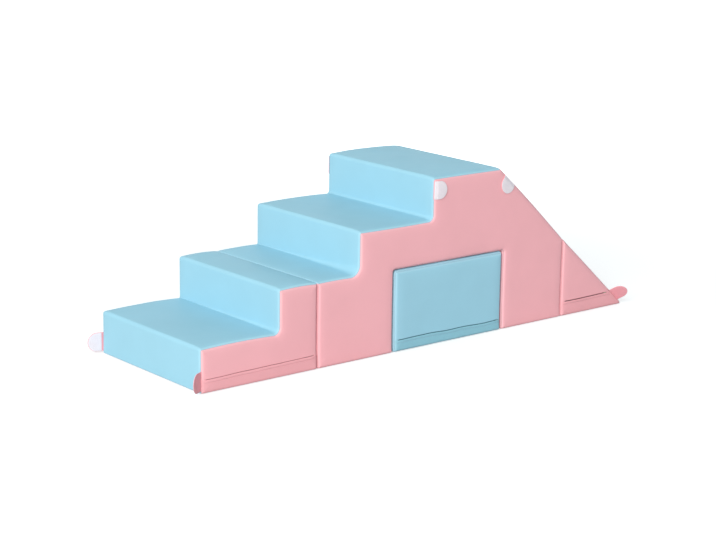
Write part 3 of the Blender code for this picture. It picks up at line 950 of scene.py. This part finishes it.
def piece(name, bm, materials, body, nodes, thickness=None):
    """Makes a piece of the mesh, which rides on a body and stands for solids."""
    made = mesh_object(name, bm)
    for material in materials:
        made.data.materials.append(material)
    made.data.shade_smooth()
    if thickness:
        solidify = made.modifiers.new("thickness", "SOLIDIFY")
        solidify.thickness = thickness
        solidify.offset = -1.0
    if isinstance(body, str):
        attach(made, body)
    else:
        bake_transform(made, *body)
    if nodes:
        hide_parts(*nodes)
    return made


def cover_piece(name, bm, colour, band=False):
    """A panel of a block's cover, in place of the solid of that name."""
    looks = [COVERS[f"{colour}_band" if band else colour], THREADS[colour]]
    piece(f"{name}_sewn", bm, looks, block_of(name), [name], COVER)


def panel(name, outline, first, last, colour="pink", band=False, **shape):
    """A panel of a cover across its block, from one corner of the outline to another."""
    cover_piece(name, strip_sheet(outline, first, last, **shape), colour, band)


def dress(name, material):
    """Gives a solid that stays in view its material."""
    materials = frame["nodes"][name].data.materials
    materials.clear()
    materials.append(material)


def add_tube(bm, rings, material=0):
    """Joins rings of points into a closed tube."""
    layer = bm.verts.layers.float["seam"]
    made = [[bm.verts.new(point) for point in ring] for ring in rings]
    for vert in (vert for ring in made for vert in ring):
        vert[layer] = PLAIN
    faces = [bm.faces.new(made[0][::-1]), bm.faces.new(made[-1])]
    for one, two in zip(made, made[1:]):
        for index in range(len(one)):
            after = (index + 1) % len(one)
            faces.append(bm.faces.new((one[index], one[after], two[after], two[index])))
    for face in faces:
        face.material_index = material


def add_box(bm, middle, size):
    """Adds a box to a mesh."""
    made = bmesh.ops.create_cube(bm, size=1)["verts"]
    bmesh.ops.scale(bm, vec=size, verts=made)
    bmesh.ops.translate(bm, vec=middle, verts=made)


def round_ring(centre, one, two, radius, sides):
    """Points round a centre, in the plane of two directions."""
    turns = [math.tau * side / sides for side in range(sides)]
    return [centre + (one * math.cos(turn) + two * math.sin(turn)) * radius for turn in turns]


# Hems
class Hem(NamedTuple):
    """A hem's line over the run from start to stop, and the slot over the zip above it.

    The line tilts and waves about its height. proud is how far the doubled cloth stands out,
    and a slanted hem ends on a slope.
    """

    start: float
    stop: float
    height: float
    tilt: float
    wave: float
    slot: float = SLOT
    proud: float = HEM_PROUD
    slanted: bool = False

    def shift(self, along, height):
        """How far the line lies above the hem's height there, fading out away from it."""
        middle, half = (self.start + self.stop) / 2, (self.stop - self.start) / 2
        line = self.tilt * ((along - middle) / half)
        spot = (along / HEM_WAVE_SIZE, self.height * HEM_WAVE_ROWS, HEM_WAVE_LAYER)
        line += self.wave * noise.noise(Vector(spot))
        return line * (1 - ease((abs(height - self.height) - HEM_LINE_REACH) / HEM_LINE_FADE))

    def opened(self, seam):
        """How far the slot is open at a distance from the panel's seams."""
        end = SLANTED_SLOT_END if self.slanted else SLOT_END
        return ease((seam - end) / SLOT_EASE)

    def swell(self, over):
        """How the doubled cloth stands out, from its row of stitches upward."""
        groove = -STITCH_DEPTH * math.exp(-((over / STITCH_GROOVE) ** 2))
        if over <= 0:
            return groove + STITCH_LIP_SHARE * STITCH_DEPTH * math.exp(over / STITCH_LIP)
        puff = ease((over + HEM_PUFF_START) / HEM_PUFF)
        puff += HEM_SWELL_SHARE * math.sin(math.pi * min(over / HEM_FOLD, 1))
        return groove + self.proud * puff


def cut_level(bm, height, way=1, clear=False):
    """Cuts a mesh along a level, and clears what lies past it on the way's side if asked."""
    everything = bm.verts[:] + bm.edges[:] + bm.faces[:]
    at, way = (0, 0, height), (0, 0, way)
    bmesh.ops.bisect_plane(bm, geom=everything, plane_co=at, plane_no=way, clear_outer=clear)


def split_at_hem(sheet, outward, hem):
    """The sheet above the slot that hides a zip, and the low band with its hem below it.

    A hem that isn't proud has plain edges, which leave room for the zip's slider.
    """
    for millimetres in HEM_STATIONS_MM:
        cut_level(sheet, hem.height + millimetres / 1000)
    band = sheet.copy()
    for part, way in ((sheet, 1), (band, -1)):
        cut = hem.height + way * hem.slot / 2
        cut_level(part, cut, -way, clear=True)
        lip = [
            edge
            for edge in part.edges
            if edge.is_boundary and all(abs(vert.co.z - cut) < SAME_LEVEL for vert in edge.verts)
        ]
        shape_hem(part, outward, hem, way)
        if hem.proud:
            fold_over(part, lip, outward, hem, way)
    return sheet, band


def shape_hem(part, outward, hem, way):
    """Bends a part along the hem's line, and closes the slot towards the seams."""
    layer = part.verts.layers.float["seam"]
    along_axis = 0 if abs(outward.y) > 0.5 else 1
    for vert in part.verts:
        level = vert.co.z - hem.height
        hold = hem.opened(vert[layer])
        reach = abs(level) - hem.slot / 2
        closing = -way * hem.slot / 2 * (1 - hold) * (1 - ease(reach / SLOT_CLOSING_HEIGHT))
        shift = hem.shift(vert.co[along_axis], vert.co.z)
        if hem.slanted:
            shift *= ease(vert[layer] / SLANTED_LINE_EASE)
        if way < 0:
            vert.co += outward * (hem.swell(level + HEM_FOLD) * hold)
        vert.co.z += closing + shift


def fold_over(part, edges, outward, hem, way):
    """Rolls a lip of the slot over and back behind itself."""
    layer = part.verts.layers.float["seam"]
    path = [(0, 0)]
    for step in range(1, HEM_ROUND_STEPS + 1):
        angle = math.radians(180 / HEM_ROUND_STEPS * step)
        path.append((-HEM_ROUND * (1 - math.cos(angle)), -way * HEM_ROUND * math.sin(angle)))
    path += [(-2 * HEM_ROUND, way * HEM_TUCK / 2), (-2 * HEM_ROUND, way * HEM_TUCK)]
    pairs = [tuple(edge.verts) for edge in edges]
    hidden = []
    for (depth, height), (next_depth, next_height) in zip(path, path[1:]):
        rolled = {}
        for vert in dict.fromkeys(vert for pair in pairs for vert in pair):
            hold = FOLD_HOLD + (1 - FOLD_HOLD) * hem.opened(vert[layer])
            made = rolled[vert] = part.verts.new(vert.co + outward * (next_depth - depth))
            made.co.z += (next_height - height) * hold
            made[layer] = vert[layer]
            if next_depth < -HEM_ROUND:
                hidden.append(made)
        for one, two in pairs:
            part.faces.new((one, two, rolled[two], rolled[one]))
        pairs = [(rolled[one], rolled[two]) for one, two in pairs]
    # The cloth rolled in behind the fold takes the darkest painted shade of the slot
    for vert in hidden:
        vert[layer] = PAINTED_SHADE_SEAM
    bmesh.ops.recalc_face_normals(part, faces=part.faces)
    widest = max(part.faces, key=lambda face: face.calc_area())
    if widest.normal.dot(outward) < 0:
        bmesh.ops.reverse_faces(part, faces=part.faces[:])


def add_stitch(bm, centre, along, outward, length=STITCH_LENGTH, width=THREAD):
    """One stitch of thread, lying half in the cloth, with sunken ends."""
    across = along.cross(outward).normalized()
    rings = []
    for spot, size in STITCH_RING_SHARES:
        sunk = outward * (-0.5 * width * (1 - size))
        middle = centre + along * (spot * length) + sunk
        rings.append(round_ring(middle, across, outward, width / 2 * size, THREAD_SIDES))
    add_tube(bm, rings, material=1)


def stitch_hem(band, outward, hem):
    """A row of stitches along the hem's fold."""
    surface = BVHTree.FromBMesh(band)
    along = Vector((1, 0, 0)) if abs(outward.y) > 0.5 else Vector((0, 1, 0))
    outside = outward * (4 * HALF_WIDTH)
    height = hem.height - HEM_FOLD
    start, stop = hem.start + STITCH_MARGIN, hem.stop - STITCH_MARGIN
    count = int((stop - start) / STITCH_PITCH)
    for step in range(count + 1):
        spot = start + (stop - start) * step / count
        level = Vector((0, 0, height + hem.shift(spot, height)))
        hit = surface.ray_cast(along * spot + outside + level, -outward)[0]
        if hit:
            lean = STITCH_LEAN * noise.noise(Vector((spot * STITCH_LEAN_RATE, 0, 0)))
            way = (along + Vector((0, 0, lean))).normalized()
            add_stitch(band, hit + outward * STITCH_LIFT, way, outward)


def hemmed(names, sheet, outward, colour, hem):
    """A panel in two pieces: its upper part, and the low band with its hem."""
    upper, band = split_at_hem(sheet, outward, hem)
    stitch_hem(band, outward, hem)
    cover_piece(names[0], upper, colour)
    cover_piece(names[1], band, colour, band=True)


def hemmed_side(prefix, outline, colour, hem):
    """A hemmed near side, and the stops at the ends of the zip behind it."""
    names = (f"{prefix}_near_side", f"{prefix}_near_band")
    hemmed(names, side_sheet(outline, -1), Vector((0, -1, 0)), colour, hem)
    end_stops(prefix, colour, hem)


def end_stops(prefix, colour, hem):
    """Patches of cloth behind the hem, over both ends of the zip's tape."""
    first = hem.start + STOP_MARGIN
    last = hem.stop - (SLANTED_STOP_MARGIN if hem.slanted else STOP_MARGIN)
    lap = SLANTED_STOP_LAP if hem.slanted else STOP_LAP
    tape_low, tape_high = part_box(f"{prefix}_zip_tape")
    bm, layer = new_mesh()
    for start, stop in ((first, tape_low.x + STOP_LAP), (tape_high.x - lap, last)):
        middle = ((start + stop) / 2, tape_low.y + STOP_DEPTH, hem.height)
        add_box(bm, middle, (stop - start, STOP, STOP_HEIGHT))
    # The stops take the darkest painted shade, as they lie in the slot's shade
    for vert in bm.verts:
        vert[layer] = PAINTED_SHADE_SEAM
    look = COVERS[f"{colour}_band"]
    piece(f"{prefix}_zip_end_stops", bm, [look], block_of(prefix), [])


# Foam and zips
def foam_piece(prefix, outline):
    """A block's foam, with tight inner corners, and open at the zip's groove."""
    corners = [
        (*corner, FOAM_COVE_RADIUS if turn > 0 else radius)
        for corner, turn, radius in zip(outline.corners, outline.turns, outline.near_radii)
    ]
    shape = Outline(0, corners, spacing=3 * SPACING, least_steps=6)
    rows = [(inset, SIDE_CROWN * share - FOAM_INSET) for inset, share in FOAM_CROWN_ROWS]
    radius = EDGE_RADIUS - FOAM_INSET
    for degrees in FOAM_EDGE_DEGREES:
        angle = math.radians(degrees)
        inset, height = EDGE_RADIUS - radius * math.sin(angle), radius * math.cos(angle)
        rows.append((inset, height - EDGE_RADIUS))
    rings = []
    for side, half in ((-1, rows), (1, rows[::-1])):
        for inset, height in half:
            ring = []
            for u, v in shape.ring(inset):
                dent = FOAM_DENT * noise.noise(Vector((u, side, v)) / FOAM_DENT_SIZE) - FOAM_DENT
                ring.append((u, side * (SEAM_Y + height + dent), v))
            rings.append(ring)
    bm, _ = new_mesh()
    add_tube(bm, rings)
    name, node_name = f"{prefix}_foam_core", f"{prefix}_foam"
    made = piece(name, bm, [CORE_FOAM], block_of(prefix), [node_name])
    carve(made, zip_groove(prefix))


def zip_groove(prefix):
    """The room for a zip in the foam: deeper than the tape, and on a near side longer too."""
    corner_low, corner_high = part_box(f"{prefix}_zip_tape")
    size = corner_high - corner_low + Vector((GROOVE_PLAY, GROOVE_PLAY, GROOVE_PLAY))
    if prefix == "bridge":
        size.x *= GROOVE_DEEPER
    else:
        size.x += GROOVE_LONGER
        size.y *= GROOVE_DEEPER
    bm = bmesh.new()
    add_box(bm, (corner_low + corner_high) / 2, size)
    return bm


def carve(made, cutter_mesh):
    """Cuts a shape out of a piece, and removes the cutter."""
    cutter = mesh_object("cutter", cutter_mesh)
    cut = made.modifiers.new("groove", "BOOLEAN")
    cut.object = cutter
    cut.operation = "DIFFERENCE"
    cut.solver = "EXACT"
    graph = bpy.context.evaluated_depsgraph_get()
    carved = bpy.data.meshes.new_from_object(made.evaluated_get(graph))
    made.modifiers.remove(cut)
    made.data = carved
    bpy.data.objects.remove(cutter)


def coil_piece(prefix, colour):
    """The two interlocked coils of a zip, wound by a formula."""
    teeth = f"{prefix}_zip_teeth"
    corner_low, corner_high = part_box(teeth)
    size, middle = corner_high - corner_low, (corner_low + corner_high) / 2
    along = 0 if size.x > size.y else 1
    deep = 1 - along
    reach = size.z / 4
    depth = size[deep] / 2 - COIL_WIRE
    forward = Vector((1 - along, along, 0))
    bm, _ = new_mesh()
    for half in (-1, 1):
        stagger = COIL_STAGGER_SHARE if half > 0 else 0
        rings = []
        for step in range(int(size[along] / COIL_PITCH) * COIL_POINTS + 1):
            angle = 2 * math.pi * step / COIL_POINTS
            cos, sin = math.cos(angle), math.sin(angle)
            centre = Vector((0, 0, middle.z))
            centre[along] = corner_low[along] + COIL_PITCH * (step / COIL_POINTS + stagger)
            centre[deep] = middle[deep] + depth * sin
            centre.z += half * (reach * COIL_CENTRE_SHARE + reach * COIL_REACH_SHARE * cos)
            radial = Vector((0, 0, half * cos))
            radial[deep] = sin
            rings.append(round_ring(centre, radial, forward, COIL_WIRE, COIL_SIDES))
        add_tube(bm, rings)
    bmesh.ops.recalc_face_normals(bm, faces=bm.faces)
    piece(f"{prefix}_zip_coil", bm, [COILS[colour]], block_of(prefix), [teeth])
    dress(f"{prefix}_zip_tape", TAPES[colour])
    dress(f"{prefix}_zip_slider", SLIDER_METAL)


# Tabs
class Ribbon:
    """A tab's middle surface: a path from its hinge, carried across the tab's width."""

    def __init__(self, hinge, strip_normal, side, swing, curl):
        outward = Vector((0, side, 0))
        normal = Vector((strip_normal[0], 0, strip_normal[1])).normalized()
        angle = math.radians(swing)
        self.origin = Vector(hinge)
        self.along = outward * math.sin(angle) - normal * math.cos(angle)
        self.upper = -outward * math.cos(angle) - normal * math.sin(angle)
        self.across = self.upper.cross(self.along)
        points = folded_path(abs(hinge[1])) if swing == FOLDED else curled_path(curl)
        back = points[0] - points[1]
        self.points = np.array([points[0] + back / np.linalg.norm(back) * RIBBON_LEAD, *points])
        self.reached = distances(self.points) - RIBBON_LEAD

    def flat(self, reach):
        """The path's point at a distance from the hinge."""
        return point_at(self.points, self.reached, reach)

    def place(self, reach, across, height):
        """A point at a distance from the hinge, across the width, and over the surface."""
        way = self.flat(reach + RIBBON_STEP) - self.flat(reach - RIBBON_STEP)
        way /= np.linalg.norm(way)
        out, up = self.flat(reach) + np.array((-way[1], way[0])) * height
        return self.origin + self.along * out + self.upper * up + self.across * across


def folded_path(hinge_y):
    """Out of the seam, round the block's rounded edge and over the swell of its side."""
    radius = EDGE_RADIUS + STRAP / 2 + FOLD_CLEARANCE
    centre = np.array((1, 1)) * (EDGE_RADIUS - (SEAM_Y - hinge_y))
    path = [np.array((FOLD_START, FOLD_START))]
    for step in range(FOLD_ARC_STEPS + 1):
        angle = math.radians(FOLD_DEGREES) * (1 - step / FOLD_ARC_STEPS)
        path.append(centre - np.array((math.sin(angle), math.cos(angle))) * radius)
    for step in range(1, FOLD_STEPS):
        reach = FOLD_STEP * step
        path.append(centre + np.array((reach, -radius - SIDE_CROWN * rise(reach + EDGE_RADIUS))))
    return path


def curled_path(curl):
    """Nearly straight, with the slight curl of a sewn strap."""
    steps = [CURL_STEP * step for step in range(CURL_STEPS)]
    return [np.array((reach, curl * (reach / TAB_LENGTH) ** 2)) for reach in steps]


def round_ended(start, length, width, spacing):
    """The outline of a strap or pad, along and across, with a half round at its far end."""
    half = width / 2
    end_radius = half * TAB_END_SHARE
    corners = (
        (start, -half, TAB_CORNER),
        (start, half, TAB_CORNER),
        (length, half, end_radius),
        (length, -half, end_radius),
    )
    return Outline(0, corners, spacing=spacing, least_steps=6)


def plate(ribbon, outline, thickness, depth, profile, spacing):
    """A closed plate with rounded edges on a ribbon, at a depth below its middle."""
    bm, layer = new_mesh()
    rows = [(inset, share * thickness / 2, inset) for inset, share in profile]
    places, faces = ringed_sheet(outline, rows, spacing)
    made = {}
    for side in (1, -1):
        for index, (u, v, height, seam) in enumerate(places):
            if side < 0 and index < outline.count:
                made[side, index] = made[1, index]
                continue
            vert = bm.verts.new(ribbon.place(u, v, depth + side * height))
            vert[layer] = seam + STRAP_EDGE
            made[side, index] = vert
    for side in (1, -1):
        for face in faces:
            order = face if side < 0 else reversed(face)
            bm.faces.new([made[side, index] for index in order])
    return bm


def strap_piece(name, ribbon, tab_body):
    """A coated strap with a row of stitches round its edge."""
    outline = round_ended(-STRAP_ROOT, TAB_LENGTH, TAB_WIDTH, STRAP_SPACING)
    bm = plate(ribbon, outline, STRAP, 0, STRAP_PROFILE, STRAP_NET)
    bmesh.ops.recalc_face_normals(bm, faces=bm.faces)
    ring = outline.ring(STRAP_STITCH_INSET)
    closed = np.vstack([ring, ring[:1]])
    reached = distances(closed)
    for step in range(int(reached[-1] / STITCH_PITCH)):
        spots = [
            point_at(closed, reached, (step + shift) * STITCH_PITCH) for shift in STITCH_WAY_SHARES
        ]
        if spots[1][0] < STRAP_STITCH_START:
            continue
        for side in (1, -1):
            height = side * (STRAP / 2 * STRAP_STITCH_SHARE)
            before, middle, after = [ribbon.place(u, v, height) for u, v in spots]
            outward = (middle - ribbon.place(*spots[1], 0)).normalized()
            way = (after - before).normalized()
            add_stitch(bm, middle, way, outward, STRAP_STITCH_LENGTH, STRAP_THREAD)
    start = ribbon.place(-STRAP_ROOT / 2, 0, 0)
    end = ribbon.place(STRAP_BEND, 0, 0)
    body = (block_of(name), tab_body, start, end)
    looks = [COVERS["strap"], THREADS["pink"]]
    piece(f"{name}_strap_sewn", bm, looks, body, [f"{name}_strap"])


def pad_piece(name, ribbon, tab_body, hooks, seed):
    """A hook or loop pad: a woven back with rows of hooks, or a pile of loose loops."""
    first = HOOK_PAD_START if hooks else LOOP_PAD_START
    length, width = TAB_LENGTH - PAD_MARGIN, TAB_WIDTH - 2 * PAD_MARGIN
    outline = round_ended(first, length, width, PAD_SPACING)
    depth = -(STRAP * STRAP_PROFILE[-1][1] / 2 + PAD_GAP + PAD / 2)
    bm = plate(ribbon, outline, PAD, depth, PAD_PROFILE, PAD_NET)
    chance = random.Random(seed)
    loose = HOOK_SCATTER if hooks else LOOP_SCATTER
    spots = []
    for row in range(int(TAB_LENGTH / PILE_PITCH)):
        for column in range(int(TAB_WIDTH / PILE_PITCH) + 1):
            along = first + (row + loose * (chance.random() - 0.5)) * PILE_PITCH
            across = (column + loose * (chance.random() - 0.5)) * PILE_PITCH - TAB_WIDTH / 2
            spots.append((along, across))
    spots = np.array(spots)
    foot = depth - PAD / 2 * PILE_FOOT_SHARE
    for spot in spots[inside(spots, outline.ring(PAD_BORDER))]:
        if hooks:
            turn, stand = HOOK_TURN * (chance.random() - 0.5), HOOK_STAND_SHARE
        else:
            turn = chance.random() * math.pi
            stand = LOOP_LEAST_STAND_SHARE + LOOP_STAND_SPREAD * chance.random()
        span = (HOOK_SPAN if hooks else LOOP_SPAN) * (1 + SPAN_SPREAD * chance.random())
        add_loop(bm, ribbon, spot, turn, span, foot, PILE_HEIGHT * stand, hooks)
    bmesh.ops.recalc_face_normals(bm, faces=bm.faces)
    piece(f"{name}_pad_pile", bm, [PILE], tab_body, [f"{name}_pad"])


def add_loop(bm, ribbon, spot, turn, span, foot, stand, hook):
    """One loop of the pile, or a hook, whose second end stops short of the back."""
    way = np.array((math.cos(turn), math.sin(turn)))
    side_way = np.array((-way[1], way[0])) * PILE_RADIUS
    rings = []
    for share in HOOK_RING_SHARES if hook else LOOP_RING_SHARES:
        angle = math.pi * share
        at = spot - way * span * math.cos(angle)
        height = foot - stand * math.sin(angle)
        ring = [ribbon.place(*(at + side_way), height), ribbon.place(*(at - side_way), height)]
        rings.append([*ring, ribbon.place(*at, height - PILE_RADIUS * PILE_DEPTH_SHARE)])
    add_tube(bm, rings)


def tab(seat, side, strip_normal, swing, hooks, curl=CURL):
    """A tab on the near (-1) or far (1) side, with its strap and its pad."""
    word = "near" if side < 0 else "far"
    name, joint = f"{seat}_tab_{word}", JOINTS[f"{seat}_{word}_tab_swing"]
    ribbon = Ribbon(joint["pos_m"], strip_normal, side, swing, curl)
    strap_piece(name, ribbon, joint["child"])
    pad_piece(name, ribbon, joint["child"], hooks, seed=len(name) + side)


# The blocks
def stair_block():
    """Two blue steps with pink sides."""
    right = STAIR_LEFT + STAIR_LENGTH
    hem = Hem(STAIR_LEFT, right, height=0.041, tilt=0.003, wave=0.0016)
    hemmed_side("stair", STAIR, "pink", hem)
    cover_piece("stair_far_side", side_sheet(STAIR, 1), "pink")
    panel("stair_tread_cover", STAIR, 0, 4, "blue")
    panel("stair_end_panel", STAIR, 4, 5, pressed=True)
    panel("stair_base_panel", STAIR, 5, 0, pressed=True)
    foam_piece("stair", STAIR)
    coil_piece("stair", "pink")
    riser = (-1, 0)
    tab("stair", -1, riser, NEAR_FOOT_SWING, hooks=True, curl=NEAR_FOOT_CURL)
    tab("stair", 1, riser, FAR_FOOT_SWING, hooks=True)


def bridge_block():
    """Two blue steps, a platform and the top of the slope, over the tunnel."""
    cover_piece("bridge_near_side", side_sheet(BRIDGE, -1), "pink")
    cover_piece("bridge_far_side", side_sheet(BRIDGE, 1), "pink")
    panel("bridge_tread_cover", BRIDGE, 1, 6, "blue", kept=(0, CREST_KEPT))
    panel("bridge_slope_panel", BRIDGE, 6, 7, kept=(CREST_KEPT, JOIN_KEPT))
    panel("bridge_right_panel", BRIDGE, 7, 8, pressed=True)
    panel("bridge_right_foot", BRIDGE, 8, 9, pressed=True)
    # The lining wears the deeper band tone as painted shade inside the tunnel
    panel("bridge_tunnel_lining", BRIDGE, 9, 12, band=True, crown=0)
    panel("bridge_left_foot", BRIDGE, 12, 0, pressed=True)
    names = ("bridge_left_panel", "bridge_left_band")
    hem = Hem(-HALF_WIDTH, HALF_WIDTH, height=0.041, tilt=0, wave=0.0005, proud=0)
    hemmed(names, strip_sheet(BRIDGE, 0, 1, pressed=True), Vector((-1, 0, 0)), "pink", hem)
    foam_piece("bridge", BRIDGE)
    coil_piece("bridge", "pink")
    for side in (-1, 1):
        tab("bridge_riser", side, (-1, 0), FOLDED, hooks=False)
        tab("bridge_slope", side, (2 * RISE, SLOPE_RUN), FOLDED, hooks=False)


def filler_block():
    """The blue block that closes the tunnel."""
    right = FILLER_LEFT + FILLER_LENGTH
    hem = Hem(FILLER_LEFT, right, height=0.0348, tilt=-0.0015, wave=0.0034)
    hemmed_side("filler", FILLER, "blue", hem)
    cover_piece("filler_far_side", side_sheet(FILLER, 1), "blue")
    panel("filler_wrap", FILLER, 0, 3, "blue")
    panel("filler_base_panel", FILLER, 3, 0, "blue", pressed=True)
    foam_piece("filler", FILLER)
    coil_piece("filler", "blue")


def wedge_block():
    """The pink wedge that takes the slope down to the floor."""
    height = 0.0475
    slope_end = WEDGE_LEFT + WEDGE_LENGTH * (1 - height / (2 * RISE))
    hem = Hem(WEDGE_LEFT, slope_end, height, tilt=0.0015, wave=0.0012, slot=WEDGE_SLOT, slanted=True)
    hemmed_side("wedge", WEDGE, "pink", hem)
    cover_piece("wedge_far_side", side_sheet(WEDGE, 1), "pink")
    panel("wedge_end_panel", WEDGE, 0, 1, pressed=True)
    panel("wedge_slope_panel", WEDGE, 1, 2, kept=(JOIN_KEPT, 0))
    panel("wedge_base_panel", WEDGE, 2, 0, pressed=True)
    foam_piece("wedge", WEDGE)
    coil_piece("wedge", "pink")
    for side in (-1, 1):
        tab("wedge", side, (2 * RISE, WEDGE_LENGTH), TOE_SWING, hooks=True)


# The studio
def camera():
    """The photograph's camera."""
    data = bpy.data.cameras.new("camera")
    data.sensor_width = SENSOR_MM
    data.lens = FOCAL_PIXELS * SENSOR_MM / PHOTO_WIDTH
    made = new_object("camera", data)
    yaw, pitch, roll = map(math.radians, (CAMERA_YAW, CAMERA_PITCH, CAMERA_ROLL))
    aim = Euler((math.pi / 2 - pitch, 0, -yaw)).to_matrix().to_4x4()
    made.matrix_world = Matrix.Translation(CAMERA_PLACE) @ aim @ Matrix.Rotation(roll, 4, "Z")
    bpy.context.scene.camera = made


def softbox(name, place_at, size, watts, colour):
    """A square lamp that faces the blocks."""
    data = bpy.data.lights.new(name, "AREA")
    data.size = size
    data.energy = watts
    data.color = colour
    made = new_object(name, data)
    made.location = place_at
    to_blocks = Vector(LIGHT_AIM) - Vector(place_at)
    made.rotation_euler = to_blocks.to_track_quat("-Z", "Y").to_euler()
    return made


def show(tree, output, plain, to_eye):
    """Gives the output a plain shader, and another where the eye or a reflection meets it."""
    path = node(tree, "LightPath").outputs
    eye = calculate(tree, "MAXIMUM", path["Is Camera Ray"], path["Is Glossy Ray"])
    eye = calculate(tree, "MAXIMUM", eye, path["Is Transmission Ray"])
    choice = node(tree, "MixShader", {0: eye, 1: plain, 2: to_eye})
    tree.links.new(choice.outputs[0], tree.nodes[output].inputs["Surface"])


def floor():
    """A plain pale floor, which shows white but for the blocks' soft shadow, and further off."""
    bpy.ops.mesh.primitive_plane_add(size=FLOOR_SIZE, location=(0, 0, -FLOOR_GAP))
    made = bpy.context.object
    made.name = "floor"
    material, tree = new_material("floor", 0.9)
    finished(material, {"Base Color": FLOOR_GREY, "Specular IOR Level": 0.0})
    shader = tree.nodes["Principled BSDF"]
    away = node(tree, "VectorMath", {0: place(tree)}, operation="LENGTH").outputs["Value"]
    strength = ramp(tree, away, FLOOR_GLOW_NEAR, FLOOR_GLOW_FAR, FLOOR_GLOW, 1.0)
    glow = node(tree, "Emission", {"Color": PAPER, "Strength": strength})
    show(tree, "Material Output", shader, node(tree, "AddShader", {0: shader, 1: glow}))
    made.data.materials.append(material)


def world():
    """Even light from all round, and white where the eye meets it."""
    made = bpy.data.worlds.new("studio")
    bpy.context.scene.world = made
    made.use_nodes = True
    tree = made.node_tree
    around = tree.nodes["Background"]
    around.inputs["Color"].default_value = SKY_COLOUR
    around.inputs["Strength"].default_value = SKY_STRENGTH
    show(tree, "World Output", around, node(tree, "Background", {"Color": PAPER, "Strength": 1.0}))


stair_block()
bridge_block()
filler_block()
wedge_block()
camera()
softbox("key", place_at=(-11.5, -7.5, 6.8), size=7.5, watts=2060, colour=(1.0, 0.975, 0.955))
fill = softbox("fill", place_at=(6.5, 7.0, 1.6), size=5.0, watts=290, colour=(0.96, 0.98, 1.0))
fill.visible_glossy = False
floor()
world()
bpy.context.scene.view_settings.view_transform = "Standard"
